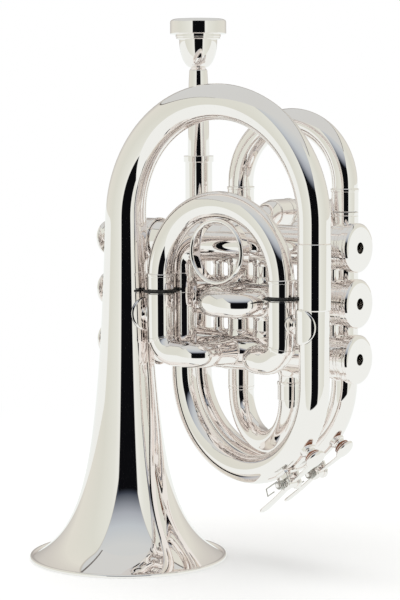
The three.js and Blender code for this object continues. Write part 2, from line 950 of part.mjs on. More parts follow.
function leadpipe() {
  const length = receiverBottomZ + tenonLength - backBowJointZ;
  const route = new Route(point(leadpipeX, backPlaneY, backBowJointZ), up).straight(length);
  const socket = tenonLength + jointGap;
  const shoulder = length - tenonLength - jointGap;
  const outer = [
    ...beaded(0, ferruleLength, ferruleRadius, leadpipeRadius),
    [shoulder, leadpipeRadius],
    [shoulder, tenonRadius(receiverSocket)],
    [length, tenonRadius(receiverSocket)],
  ];
  const bore = [
    [0, ferruleSocket],
    [socket, ferruleSocket],
    [socket, tenonBore(ferruleSocket)],
    [length, tenonBore(ferruleSocket)],
  ];
  place("leadpipe", tube(route, outer, bore), silver);
}

function mouthpieceReceiver() {
  const length = receiverTopZ - receiverBottomZ;
  const route = new Route(point(leadpipeX, backPlaneY, receiverBottomZ), up).straight(length);
  const socket = tenonLength + jointGap;
  const shankEnd = length - mouthpieceInsertion;
  const outer = [
    [0, receiverRadius],
    [length - receiverBeadLength, receiverRadius],
    [length - receiverBeadLength, receiverRadius + receiverBeadStep],
    [length, receiverRadius + receiverBeadStep],
  ];
  const bore = [
    [0, receiverSocket],
    [socket, receiverSocket],
    [socket, receiverThroatRadius],
    [shankEnd - jointGap, receiverThroatRadius],
    [shankEnd - jointGap, shankEndRadius + jointGap],
    [length, shankMouthRadius + jointGap],
  ];
  place("mouthpiece_receiver", tube(route, outer, bore, mouthpieceSides), silver);
}

function mouthpiece() {
  const top = mouthpieceLength;
  const bowlTop = top - rimHeight - rimStepHeight;
  const shankTop = top - neckDrop;
  const bowlBottom = shankTop + waistHeight;
  const bowl = [[neckRadius, shankTop]];
  for (let i = 0; i <= bowlSteps; i++) {
    const angle = ((i / bowlSteps) * Math.PI) / 2;
    const radius = waistRadius + (bowlRadius - waistRadius) * Math.sin(angle);
    bowl.push([radius, bowlTop - (bowlTop - bowlBottom) * Math.cos(angle)]);
  }
  const cup = [];
  for (let i = 0; i <= bowlSteps; i++) {
    const angle = ((i / bowlSteps) * Math.PI) / 2;
    const depth = cupRimDrop + (cupDepth - cupRimDrop) * Math.sin(angle);
    cup.push([throatRadius + (cupRadius - throatRadius) * Math.cos(angle), top - depth]);
  }
  const profile = [
    [shankBoreRadius, 0],
    [shankEndRadius, 0],
    [shankMouthRadius, mouthpieceInsertion],
    ...bowl,
    [rimRadius - rimStepInset, bowlTop],
    [rimRadius - rimStepInset, bowlTop + rimStepHeight],
    [rimRadius, bowlTop + rimStepHeight],
    [rimRadius, top - rimRound],
    [rimRadius - rimRound, top - rimRound / 4],
    [rimRadius - rimCrestInset, top],
    [cupRadius + rimBiteStep, top - rimRound / 2],
    ...cup,
    [throatRadius, top - cupDepth - throatLength],
  ];
  const mesh = place("mouthpiece", turned(profile, mouthpieceSides), silver);
  mesh.position.set(leadpipeX, backPlaneY, receiverTopZ - mouthpieceInsertion);
}

// Slides

// A slide: two legs that run in sleeves, a ferrule on each, and the bow that joins them.
function slide({ from, heading, across, span, legLength, ferruleFrom, ferruleLength, steps }) {
  const route = new Route(from, heading)
    .straight(legLength)
    .bend(span / 2, Math.PI, across, steps)
    .straight(legLength);
  const ferruleTo = ferruleFrom + ferruleLength;
  const half = [
    [0, slideLegRadius],
    [ferruleFrom, slideLegRadius],
    ...beaded(ferruleFrom, ferruleTo, sleeveRadius, slideBowRadius),
  ];
  const mirrored = half.map(([along, radius]) => [route.length - along, radius]).reverse();
  return tube(route, [...half, ...mirrored], slideLegBore);
}

function tuningSleeve(name, x, bottomZ) {
  const length = tuningSleeveTopZ - bottomZ;
  const route = new Route(point(x, backPlaneY, tuningSleeveTopZ), down).straight(length);
  place(name, tube(route, sleeveRadius, sleeveBore), silver);
}

function tuningSlide() {
  tuningSleeve("tuning_sleeve_left", tuningLeftX, smallBowJointZ);
  tuningSleeve("tuning_sleeve_right", tuningRightX, backBowJointZ);
  const geometry = slide({
    from: point(tuningLeftX, backPlaneY, tuningLegEndZ),
    heading: up,
    across: xAxis,
    span: tuningRightX - tuningLeftX,
    legLength: tuningBowCentreZ - tuningLegEndZ,
    ferruleFrom: tuningSleeveTopZ + jointGap - tuningLegEndZ,
    ferruleLength: tuningFerruleLength,
    steps: bowSteps,
  });
  place("tuning_slide", geometry, silver);
}

function thirdValvePort() {
  const valveZ = valveZs[2];
  const length = valveZ - casingBoreRadius / 2 - smallBowJointZ;
  const start = point(smallBowPortX, valveAxisY, smallBowJointZ);
  const route = new Route(start, up, smallBowRoute.tip.side).straight(length);
  const socket = tenonLength + jointGap;
  const outer = [...beaded(0, ferruleLength, ferruleRadius, leadpipeRadius), [length, leadpipeRadius]];
  const bore = [
    [0, ferruleSocket],
    [socket, ferruleSocket],
    [socket, tenonBore(ferruleSocket)],
    [length, tenonBore(ferruleSocket)],
  ];
  place("third_valve_port", seatedOn(valveZ, tube(route, outer, bore)), silver);
}

function firstSlide() {
  const [valveZ] = valveZs;
  const inset = casingBoreRadius / 2;
  const turnDown = point(0, Math.sin(firstPortLean), -Math.cos(firstPortLean));
  let bendEndY = 0;
  let sleeveZ = 0;
  firstSlideXs.forEach((x, i) => {
    const start = point(x, valveAxisY, valveZ).addScaledVector(firstPortHeading, inset);
    const route = new Route(start, firstPortHeading)
      .straight(casingRadius + firstStubLength - inset)
      .bend(firstElbowRadius, firstPortLean, turnDown);
    bendEndY = route.tip.at.y;
    sleeveZ = route.tip.at.z;
    const bendEnd = route.length;
    route.straight(firstSleeveLength);
    const outer = [
      [0, leadpipeRadius],
      [bendEnd, leadpipeRadius],
      [bendEnd, sleeveRadius],
      [route.length, sleeveRadius],
    ];
    const bore = [
      [0, slideLegBore],
      [bendEnd, slideLegBore],
      [bendEnd, sleeveBore],
      [route.length, sleeveBore],
    ];
    place(`first_sleeve_${i + 1}`, seatedOn(valveZ, tube(route, outer, bore)), silver);
  });
  const geometry = slide({
    from: point(firstSlideXs[0], bendEndY + firstLegInset, sleeveZ),
    heading: yAxis,
    across: xAxis,
    span: firstSlideXs[1] - firstSlideXs[0],
    legLength: firstSleeveLength + firstBowReach - firstLegInset,
    ferruleFrom: firstSleeveLength + jointGap - firstLegInset,
    ferruleLength: firstFerruleLength,
    steps: crookSteps,
  });
  place("first_slide", geometry, silver);
}

function secondSlide() {
  const valveZ = valveZs[1];
  const casingY = valveAxisY - casingRadius;
  const sleeveEndY = casingY - secondSleeveLength;
  secondSlideXs.forEach((x, i) => {
    const route = new Route(point(x, sleeveEndY, valveZ), yAxis);
    route.straight(secondSleeveLength + casingRadius / 2);
    const sleeve = tube(route, sleeveRadius, sleeveBore);
    place(`second_sleeve_${i + 1}`, seatedOn(valveZ, sleeve), silver);
  });
  const geometry = slide({
    from: point(secondSlideXs[0], casingY - secondLegInset, valveZ),
    heading: forward,
    across: xAxis,
    span: secondSlideXs[1] - secondSlideXs[0],
    legLength: secondSleeveLength + secondBowReach - secondLegInset,
    ferruleFrom: secondSleeveLength + jointGap - secondLegInset,
    ferruleLength: secondFerruleLength,
    steps: crookSteps,
  });
  place("second_slide", geometry, silver);
}

// A third-slide sleeve: down, then inwards along the casing, then back into it.
function thirdSleeve(name, x, portX, inwards) {
  const valveZ = valveZs[2];
  const drop = thirdSleeveTopZ - valveZ;
  const reach = Math.abs(portX - x);
  const route = new Route(point(x, 0, thirdSleeveTopZ), down)
    .straight(drop - thirdElbowRadius)
    .bend(thirdElbowRadius, Math.PI / 2, inwards)
    .straight(reach - 2 * thirdElbowRadius)
    .bend(thirdElbowRadius, Math.PI / 2, yAxis)
    .straight(valveAxisY - casingBoreRadius / 2 - thirdElbowRadius);
  const ferrule = thirdSleeveTopZ - thirdFerruleZ;
  const outer = [...beaded(0, ferrule, sleeveRadius, slideBowRadius), [route.length, slideBowRadius]];
  const bore = [
    [0, sleeveBore],
    [ferrule, sleeveBore],
    [ferrule, slideLegBore],
    [route.length, slideLegBore],
  ];
  place(name, seatedOn(valveZ, tube(route, outer, bore)), silver);
}

function stopRing(name, x) {
  const inner = slideLegRadius + jointGap;
  const round = (stopRingRadius - inner) * stopRingRoundShare;
  const mesh = place(
    name,
    turned(
      [
        [inner, 0],
        [stopRingRadius - round, 0],
        [stopRingRadius, stopRingThickness / 2],
        [stopRingRadius - round, stopRingThickness],
        [inner, stopRingThickness],
      ],
      capSides,
    ),
    rubber,
  );
  mesh.position.set(x, 0, thirdSleeveTopZ + jointGap);
}

function thirdSlide() {
  thirdSleeve("third_sleeve_left", thirdLeftX, thirdPortXs[0], xAxis);
  thirdSleeve("third_sleeve_right", thirdRightX, thirdPortXs[1], xAxis.clone().negate());
  // The finger ring hangs inside the top of the bow, high enough to clear the second slide.
  const ringDrop = fingerRingRadius + jointGap + slideBowRadius - thirdBowSpan / 2;
  const lowestRingZ = sleeveRadius + ringClearance + fingerRingRadius;
  const bowCentreZ = Math.max(thirdBowCentreZ, lowestRingZ + ringDrop);
  const ringCentreZ = bowCentreZ - ringDrop;
  const geometry = slide({
    from: point(thirdLeftX, 0, thirdLegEndZ),
    heading: up,
    across: xAxis,
    span: thirdBowSpan,
    legLength: bowCentreZ - thirdLegEndZ,
    ferruleFrom: thirdSleeveTopZ + stopRingThickness + 2 * jointGap - thirdLegEndZ,
    ferruleLength: thirdFerruleLength,
    steps: bowSteps,
  });
  place("third_slide", geometry, silver);
  stopRing("stop_ring_left", thirdLeftX);
  stopRing("stop_ring_right", thirdRightX);
  const inner = fingerRingRadius - fingerRingWall;
  const half = fingerRingLength / 2;
  const ring = place(
    "finger_ring",
    turned(
      [
        [inner, -half],
        [fingerRingRadius - fingerRingRound, -half],
        [fingerRingRadius, -half + fingerRingRound],
        [fingerRingRadius, half - fingerRingRound],
        [fingerRingRadius - fingerRingRound, half],
        [inner, half],
      ],
      fingerRingSides,
    ),
    silver,
  );
  ring.rotation.x = Math.PI / 2;
  ring.position.set((thirdLeftX + thirdRightX) / 2, 0, ringCentreZ);
}

// Braces

// A saddle is the slice of a thin shell round a tube that a disc on the post cuts out.
function saddle(x, tubeRadius, fromX, toX) {
  const low = point(x, 0, braceZ - saddleRadius - overrun);
  const high = point(x, 0, braceZ + saddleRadius + overrun);
  const shell = toSolid(cylinder(tubeRadius + jointGap + saddleThickness, low, high, bellBowSides));
  const disc = cylinder(saddleRadius, point(fromX, 0, braceZ), point(toX, 0, braceZ), capSides);
  return shell.intersect(toSolid(disc));
}

function brace(name, leftX, leftRadius, rightX, rightRadius) {
  const middle = (leftX + leftRadius + rightX - rightRadius) / 2;
  const post = toSolid(cylinder(bracePostRadius, point(leftX, 0, braceZ), point(rightX, 0, braceZ)));
  const low = -saddleRadius - overrun;
  const high = saddleRadius + overrun;
  const tubes = [
    [leftX, leftRadius],
    [rightX, rightRadius],
  ].map(([x, radius]) =>
    toSolid(
      cylinder(
        radius + jointGap,
        point(x, 0, braceZ + 2 * low),
        point(x, 0, braceZ + 2 * high),
        2 * bellBowSides,
      ),
    ),
  );
  const solid = post
    .add(saddle(leftX, leftRadius, leftX, middle))
    .add(saddle(rightX, rightRadius, middle, rightX))
    .subtract(tubes[0])
    .subtract(tubes[1]);
  place(name, toGeometry(solid), silver);
}

function braces() {
  const bellAtBrace = bellRadius(braceZ - saddleRadius);
  brace("brace_left", 0, bellAtBrace, thirdLeftX, sleeveRadius);
  brace("brace_right", thirdRightX, sleeveRadius, bellBowSpan, legRadius);
}

// Water keys

// One water key with its nipple and saddle, on a bow that runs down from its right leg.
function waterKey({ suffix, rightLeg, leftLeg, centreZ, radii }) {
  const across = new THREE.Vector3().subVectors(leftLeg, rightLeg).setZ(0);
  const bendRadius = across.length() / 2;
  const inwards = across.clone().normalize();
  const outwards = inwards.clone().negate();
  const centre = point((rightLeg.x + leftLeg.x) / 2, (rightLeg.y + leftLeg.y) / 2, centreZ);
  const tubeRadiusAt = (angle) => radii[0] + ((radii[1] - radii[0]) * angle) / Math.PI;
  const hingeReach = bendRadius + tubeRadiusAt(keyHingeAngle) + keyHingeHeight;
  const radial = outwards
    .clone()
    .multiplyScalar(Math.cos(keyHingeAngle))
    .addScaledVector(down, Math.sin(keyHingeAngle));
  const tangent = inwards
    .clone()
    .multiplyScalar(Math.sin(keyHingeAngle))
    .addScaledVector(down, Math.cos(keyHingeAngle));
  const hingeAxis = new THREE.Vector3().crossVectors(radial, tangent);
  const key = new THREE.Group();
  key.position.copy(centre).addScaledVector(radial, hingeReach);
  key.quaternion.setFromRotationMatrix(new THREE.Matrix4().makeBasis(tangent, hingeAxis, radial));
  trumpet.add(key);

  // In the key's own frame the bow's centre lies below the hinge, and the nipple leans back.
  const lean = keyHingeAngle - keyNippleAngle;
  const bowCentre = point(0, 0, -hingeReach);
  const nippleUp = point(-Math.sin(lean), 0, Math.cos(lean));
  const onNippleAxis = (height) => bowCentre.clone().addScaledVector(nippleUp, height);
  const cutFrom = keyNippleAngle - lean;
  const cutTo = keyHingeAngle + lean;
  const startTurn = keyHingeAngle - cutFrom;
  const cutStart = point(-Math.sin(startTurn), 0, Math.cos(startTurn));
  const cutHeading = point(Math.cos(startTurn), 0, Math.sin(startTurn));
  const cutRoute = new Route(bowCentre.clone().addScaledVector(cutStart, bendRadius), cutHeading).bend(
    bendRadius,
    cutTo - cutFrom,
    cutStart.clone().negate(),
    bowSteps,
  );
  const cutter = toSolid(
    tube(
      cutRoute,
      [
        [0, tubeRadiusAt(cutFrom) + jointGap],
        [cutRoute.length, tubeRadiusAt(cutTo) + jointGap],
      ],
      null,
      tubeSides * 2,
    ),
  );

  const flangeRadius = nippleRadius + nippleFlangeWidth;
  const surface = bendRadius + tubeRadiusAt(keyNippleAngle);
  const nippleTop = surface + nippleHeight;
  const flangeTop = surface + nippleFlangeHeight;
  const rootDepth = surface - flangeRadius;
  const stem = cylinder(nippleRadius, onNippleAxis(rootDepth), onNippleAxis(nippleTop));
  const flange = cylinder(flangeRadius, onNippleAxis(rootDepth), onNippleAxis(flangeTop));
  const drain = cylinder(
    nippleBoreRadius,
    onNippleAxis(rootDepth - overrun),
    onNippleAxis(nippleTop + overrun),
  );
  const nipple = toSolid(stem).add(toSolid(flange)).subtract(cutter).subtract(toSolid(drain));
  place(`water_nipple_${suffix}`, toGeometry(nipple), silver, key);

  const earInner = hubWidth / 2 + jointGap;
  const earOuter = earInner + earThickness;
  const ears = [-1, 1].map((sign) => {
    const low = Math.min(sign * earInner, sign * earOuter);
    const shape = new THREE.Shape();
    shape.moveTo(-earRadius, -keyHingeHeight - earRadius);
    shape.lineTo(earRadius, -keyHingeHeight - earRadius);
    shape.lineTo(earRadius, 0);
    shape.absarc(0, 0, earRadius, 0, Math.PI, false);
    shape.lineTo(-earRadius, -keyHingeHeight - earRadius);
    const plate = new THREE.ExtrudeGeometry(shape, {
      depth: earThickness,
      bevelEnabled: false,
      curveSegments: elbowSteps,
    });
    plate.rotateX(Math.PI / 2);
    plate.translate(0, low + earThickness, 0);
    return toSolid(plate);
  });
  const baseHeight = keyHingeHeight + earRadius - saddleBaseTop;
  const base = new THREE.BoxGeometry(saddleBaseLength, 2 * earOuter, baseHeight);
  base.translate(0, 0, -saddleBaseTop - baseHeight / 2);
  const pinEnd = earOuter + pinHeadLength;
  const springRoom = keySpringTurns * keySpringPitch + 2 * keySpringWire;
  const pin = cylinder(pinRadius, point(0, -pinEnd - springRoom, 0), point(0, pinEnd, 0));
  const saddleSolid = toSolid(base)
    .add(ears[0])
    .add(ears[1])
    .subtract(cutter)
    .add(toSolid(pin));
  place(`water_saddle_${suffix}`, toGeometry(saddleSolid), silver, key);

  // The lever's side view and its view from above, each extruded, cross to give the curved blade.
  const corkFoot = nippleTop + jointGap;
  const cupFoot = corkFoot + corkProud;
  const cupTop = corkFoot + corkHeight + jointGap + cupRoof;
  const cupCentre = onNippleAxis(cupTop - cupRoof / 2);
  const cupOuter = corkRadius + jointGap + cupWall;
  const half = leverThickness / 2;
  const side = new THREE.Shape();
  side.moveTo(cupCentre.x, cupCentre.z - half);
  side.lineTo(0, -half);
  side.quadraticCurveTo(leverTipReach / 2, -half - leverSag, leverTipReach, leverTipRise - half);
  side.lineTo(leverTipReach, leverTipRise + half);
  side.quadraticCurveTo(leverTipReach / 2, half - leverSag, 0, half);
  side.lineTo(cupCentre.x, cupCentre.z + half);
  side.closePath();
  const sideSolid = new THREE.ExtrudeGeometry(side, {
    depth: 2 * cupOuter,
    bevelEnabled: false,
    curveSegments: elbowSteps,
  });
  sideSolid.rotateX(Math.PI / 2);
  sideSolid.translate(0, cupOuter, 0);
  const above = new THREE.Shape();
  const tipHalf = leverTipWidth / 2;
  const waistHalf = leverWaistWidth / 2;
  above.moveTo(cupCentre.x, -waistHalf);
  above.lineTo(hubRadius, -waistHalf);
  above.quadraticCurveTo(leverTipReach / 2, -waistHalf, leverTipReach - tipHalf, -tipHalf);
  above.absarc(leverTipReach - tipHalf, 0, tipHalf, -Math.PI / 2, Math.PI / 2, false);
  above.quadraticCurveTo(leverTipReach / 2, waistHalf, hubRadius, waistHalf);
  above.lineTo(cupCentre.x, waistHalf);
  above.closePath();
  const aboveSolid = new THREE.ExtrudeGeometry(above, {
    depth: 2 * leverTipReach,
    bevelEnabled: false,
    curveSegments: elbowSteps,
  });
  aboveSolid.translate(0, 0, -leverTipReach);
  const hub = cylinder(hubRadius, point(0, -hubWidth / 2, 0), point(0, hubWidth / 2, 0));
  const cup = cylinder(cupOuter, onNippleAxis(cupFoot), onNippleAxis(cupTop), capSides);
  const corkRoom = cylinder(
    corkRadius + jointGap,
    onNippleAxis(cupFoot - overrun),
    onNippleAxis(cupTop - cupRoof),
    capSides,
  );
  const pinRoom = cylinder(pinRadius + jointGap, point(0, -hubWidth, 0), point(0, hubWidth, 0));
  const lever = toSolid(sideSolid)
    .intersect(toSolid(aboveSolid))
    .add(toSolid(hub))
    .add(toSolid(cup))
    .subtract(toSolid(corkRoom))
    .subtract(toSolid(pinRoom));
  place(`water_key_${suffix}`, toGeometry(lever), silver, key);

  const pad = cylinder(corkRadius, onNippleAxis(corkFoot), onNippleAxis(corkFoot + corkHeight), capSides);
  place(`water_cork_${suffix}`, closed(pad), cork, key);

  const coilStart = -earOuter - jointGap - keySpringWire;
  const steps = keySpringTurns * springSteps;
  const points = [];
  for (let i = 0; i <= steps; i++) {
    const angle = (2 * Math.PI * i) / springSteps;
    const y = coilStart - (keySpringTurns * keySpringPitch * i) / steps;
    points.push(point(keySpringRadius * Math.sin(angle), y, -keySpringRadius * Math.cos(angle)));
  }
  console.log("least gap in a key spring, mm:", leastGap(points, keySpringWire, springSteps).toFixed(2));
  points.unshift(point(-keySpringLeg, coilStart, -keySpringRadius));
  points.push(point(keySpringLeg, coilStart - keySpringTurns * keySpringPitch, -keySpringRadius));
  place(`water_key_spring_${suffix}`, wire(points, keySpringWire, springSides), spring, key);
}

function waterKeys() {
  waterKey({
    suffix: "front",
    rightLeg: point(bellBowSpan, 0, 0),
    leftLeg: point(riserX, riserY, 0),
    centreZ: frontBowCentreZ,
    radii: [frontBowWideRadius, riserRadius],
  });
  waterKey({
    suffix: "back",
    rightLeg: point(tuningRightX, backPlaneY, 0),
    leftLeg: point(leadpipeX, backPlaneY, 0),
    centreZ: backBowCentreZ,
    radii: [backTubeRadius, leadpipeRadius],
  });
}

bell();
bellBow();
bellLeg();
bottomBows();
bellRiser();
valves();
leadpipe();
mouthpieceReceiver();
mouthpiece();
tuningSlide();
thirdValvePort();
firstSlide();
secondSlide();
thirdSlide();
braces();
waterKeys();

export default trumpet;
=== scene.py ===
import math

import bmesh
import bpy
from mathutils import Euler, Matrix, Quaternion, Vector

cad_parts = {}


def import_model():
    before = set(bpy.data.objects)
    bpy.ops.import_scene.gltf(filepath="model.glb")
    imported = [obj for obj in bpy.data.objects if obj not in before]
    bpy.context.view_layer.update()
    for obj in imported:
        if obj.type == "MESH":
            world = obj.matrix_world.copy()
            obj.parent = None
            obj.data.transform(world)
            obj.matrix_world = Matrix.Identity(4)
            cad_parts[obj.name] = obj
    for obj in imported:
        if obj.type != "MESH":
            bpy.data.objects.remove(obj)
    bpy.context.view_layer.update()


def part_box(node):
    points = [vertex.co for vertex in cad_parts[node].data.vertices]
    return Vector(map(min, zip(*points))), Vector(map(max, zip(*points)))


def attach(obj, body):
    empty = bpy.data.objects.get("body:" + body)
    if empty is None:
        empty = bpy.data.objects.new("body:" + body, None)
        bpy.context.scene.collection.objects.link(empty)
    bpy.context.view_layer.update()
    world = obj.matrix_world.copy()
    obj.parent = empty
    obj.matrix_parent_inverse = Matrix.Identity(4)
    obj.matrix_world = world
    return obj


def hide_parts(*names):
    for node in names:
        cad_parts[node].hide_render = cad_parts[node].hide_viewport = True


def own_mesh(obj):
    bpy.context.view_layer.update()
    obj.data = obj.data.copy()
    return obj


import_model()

# Pocket trumpet in silver plate. Sizes are in millimetres and heights are measured from the middle valve's
# axis, as on the drawing board; the meshes are written in metres, with the bell mouth on the floor.
MM = 0.001
BELL_MOUTH_DROP = 126.2

X_AXIS = Vector((1, 0, 0))
Y_AXIS = Vector((0, 1, 0))
UP = Vector((0, 0, 1))
DOWN = -UP
FORWARD = -Y_AXIS


def in_metres(at):
    return (at + BELL_MOUTH_DROP * UP) * MM


def node_box(node):
    """A model node's lowest and highest corners, in millimetres."""
    return [Vector(corner) / MM - BELL_MOUTH_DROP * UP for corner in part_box(node)]


def node_centre(node):
    low, high = node_box(node)
    return (low + high) / 2


# Places read from the model
leadpipe_x = node_centre("leadpipe").x
back_plane_y = node_centre("leadpipe").y
valve_axis_y = node_centre("valve_casing_1").y
valve_zs = [node_centre(f"top_cap_{number}").z for number in (1, 2, 3)]
bell_bow_span = node_centre("bell_leg").x
leg_bottom_z, leg_top_z = (corner.z for corner in node_box("bell_leg"))
tuning_left_x = node_centre("tuning_sleeve_left").x
tuning_right_x = node_centre("tuning_sleeve_right").x
tuning_sleeve_top_z = node_box("tuning_sleeve_left")[1].z
small_bow_joint_z = node_box("tuning_sleeve_left")[0].z
back_bow_joint_z = node_box("leadpipe")[0].z
first_slide_xs = [node_centre(f"first_sleeve_{number}").x for number in (1, 2)]
second_slide_xs = [node_centre(f"second_sleeve_{number}").x for number in (1, 2)]
third_left_x = node_centre("stop_ring_left").x
third_right_x = node_centre("stop_ring_right").x
riser_bottom_z = node_box("bell_riser")[0].z
small_bow_port_x = node_centre("third_valve_port").x
receiver_bottom_z = node_box("mouthpiece_receiver")[0].z
receiver_top_z = node_box("mouthpiece_receiver")[1].z
finger_ring_centre = node_centre("finger_ring")

# Fits
JOINT_GAP = 0.25
SOCKET_WALL = 0.5
TENON_WALL = 0.55
TENON_LENGTH = 6
SNUG = 0.05

# Bell and bell bow
BELL_RIM_RADIUS = 47.5
BELL_FLARE_OFFSET = 14
BELL_FLARE_EXPONENT = 0.62
BELL_WALL = 0.8
RIM_BEAD_RADIUS = 0.9
RIM_LENGTH = 1.2
BELL_BOW_CENTRE_Z = 37.5
BELL_BOW_APEX_RADIUS = 8.3
BELL_BOW_END_RADIUS = 7.4
LEG_RADIUS = 7.6
LEG_CHAMFER = 0.45

# Slides
SLIDE_LEG_RADIUS = 5.6
SLIDE_LEG_BORE = 5.05
SLEEVE_BORE = 5.85
SLEEVE_RADIUS = 6.4
SLIDE_BOW_RADIUS = 6.05
STOP_RING_RADIUS = 8.2
STOP_RING_THICKNESS = 1.6
STOP_RING_BAND = 1.2

# Bottom bows and the riser
FRONT_BOW_CENTRE_Z = -34.2
FRONT_BOW_WIDE_RADIUS = 6.9
RISER_RADIUS = 6
RISER_FERRULE_RADIUS = 6.3
RISER_FERRULE_LENGTH = 9.2
RISER_ELBOW_RADIUS = 10
RISER_PORT_X = 67
PORT_ELBOW_RADIUS = 7.2
BACK_BOW_CENTRE_Z = -38.2
BACK_TUBE_RADIUS = 6.1
SMALL_BOW_CENTRE_Z = -47.2

# Valves
CASING_RADIUS = 9.5
CASING_BORE_RADIUS = 8.45
CASING_TOP_X = -11.7
CASING_BOTTOM_X = 109
KNUCKLE_XS = [45, 60]
KNUCKLE_RADIUS = 5.9
KNUCKLE_BORE = 5.2
KNUCKLE_FILLET = 0.7
TOP_CAP_FACE_X = -14.5
TOP_CAP_END_X = -4
TOP_CAP_RADIUS = 10.4
# The crown of a cap: distances from its face, and how far in from its rim each point lies
TOP_CAP_CROWN = [(0, 4), (0.25, 3.4), (0.1, 2.4), (0.45, 1.2), (1.1, 0.4), (1.9, 0)]
TOP_CAP_FACE_GROOVE = 3.4
TOP_CAP_END_GROOVE = 2.6
TOP_CAP_GROOVE_DEPTH = 0.25
BOTTOM_CAP_FACE_X = 113.2
BOTTOM_CAP_END_X = 101
BOTTOM_CAP_RADIUS = 11.25
BOTTOM_CAP_SKIRT_RADIUS = 10.25
BOTTOM_CAP_RING_LENGTH = 3.6
BOTTOM_CAP_CHAMFER = 1.1
BOTTOM_CAP_RING_GROOVE = 2.5
BOTTOM_CAP_SKIRT_GROOVES = [1.6, 3.2]
BOTTOM_CAP_GROOVE_DEPTH = 0.2
CAP_BORE_RADIUS = 9.75
CAP_VENT_RADIUS = 2.6
STEM_RADIUS = 2.9
STEM_TIP_X = -35.7
PISTON_RADIUS = 8.2
PISTON_TOP_X = 24
PISTON_BOTTOM_X = 88
BARREL_RADIUS = 7.4
BARREL_TOP_X = -9.5
BUTTON_TOP_X = -38.7
BUTTON_BOTTOM_X = -32.5
BUTTON_RADIUS = 8.25
BUTTON_RECESS_DEPTH = 1.2
BUTTON_NECK_WALL = 0.75
BUTTON_NECK_LENGTH = 1.9
INLAY_RADIUS = 6.5
FELT_RADIUS = 5.6
FELT_REACH = 1.5
FELT_CHAMFER = 0.4

# Leadpipe, receiver and mouthpiece
LEADPIPE_RADIUS = 5.9
FERRULE_RADIUS = 6.4
FERRULE_LENGTH = 8.5
RECEIVER_RADIUS = 6.6
RECEIVER_BEAD_RADIUS = 7.3
RECEIVER_BEAD_LENGTH = 3
RECEIVER_THROAT_RADIUS = 4.6
MOUTHPIECE_LENGTH = 88.6
MOUTHPIECE_INSERTION = 22
MOUTHPIECE_RIM_RADIUS = 13.7

# Slide lengths
FIRST_PORT_LEAN = math.pi / 3
FIRST_STUB_LENGTH = 2
FIRST_ELBOW_RADIUS = 8
FIRST_SLEEVE_LENGTH = 9.1
FIRST_LEG_INSET = 0.6
FIRST_BOW_REACH = 4
FIRST_FERRULE_LENGTH = 4.5
SECOND_SLEEVE_LENGTH = 11.7
SECOND_LEG_INSET = 1.4
SECOND_BOW_REACH = 3.3
SECOND_FERRULE_LENGTH = 4
TUNING_BOW_CENTRE_Z = 52.8
TUNING_LEG_END_Z = -14.2
TUNING_FERRULE_LENGTH = 10.5
THIRD_PORT_XS = [45, 72]
THIRD_SLEEVE_TOP_Z = 2.4
THIRD_ELBOW_RADIUS = 9
THIRD_FERRULE_Z = -19.7
THIRD_BOW_CENTRE_Z = 10.1
THIRD_LEG_END_Z = -16
THIRD_FERRULE_LENGTH = 7.3

# Smaller sizes
RISER_OFFSET_X = 2.6
FERRULE_BEAD_STEP = 0.25
FERRULE_BEAD_LENGTH = 1.3
SOLDER_REACH = 1.1
SOLDER_RISE = 0.5
SEAT_DEPTH = 0.4
CASING_RING_XS = [20, 38, 88, 93.6]
CASING_RING_LENGTH = 0.9
CASING_RING_STEP = 0.3
CASING_NECK_ROOM = 2
CASING_NECK_STEP = 0.3
CAP_BEAD_STEP = 0.35
CAP_BEAD_LENGTH = 1.3
STEM_ROOM = 0.4
SPACER_XS = [32, 98]
SPACER_RADIUS = 2.5
SPACER_BORE = 1
PISTON_SPRING_WIRE = 0.5
PISTON_SPRING_INSET = 1.8
PISTON_SPRING_TURNS = 5
SHANK_END_RADIUS = 4.8
SHANK_MOUTH_RADIUS = 5.35
MOUTHPIECE_RIM_HEIGHT = 7.3
MOUTHPIECE_HEAD_LENGTH = 25
SHANK_BORE_RADIUS = 4.1
WAIST_RISE = 1.4
WAIST_RADIUS = 3.4
BOWL_RADIUS = 9.3
CREST_HEIGHT = 2.5
CREST_STEP_HEIGHT = 1
CREST_INSET = 2.7
RIM_INNER_RADIUS = 8.3
RIM_ROUND = 1.5
CUP_EDGE_DEPTH = 2.2
CUP_DEPTH = 9.3
CUP_SPREAD = 5.7
BORE_RADIUS = 1.9
BORE_DEPTH = 17.5
FINGER_RING_RADIUS = 15.5
FINGER_RING_WALL = 2.2
FINGER_RING_LENGTH = 7

# Braces
BRACE_Z = -7.7
SADDLE_RADIUS = 8
SMALL_SADDLE_RADIUS = 4.6
SADDLE_THICKNESS = 0.8
SADDLE_EDGE_SHARE = 0.55
SADDLE_LIFT = 0.02
LEG_SADDLE_LEAN = math.radians(70)
BRACE_POST_RADIUS = 2.2
POST_GAP = 0.4
# The post's foot: distances from its end, and how far it stands out there
POST_FOOT = [(0, 1.3), (0.7, 0.45), (1.2, 0)]

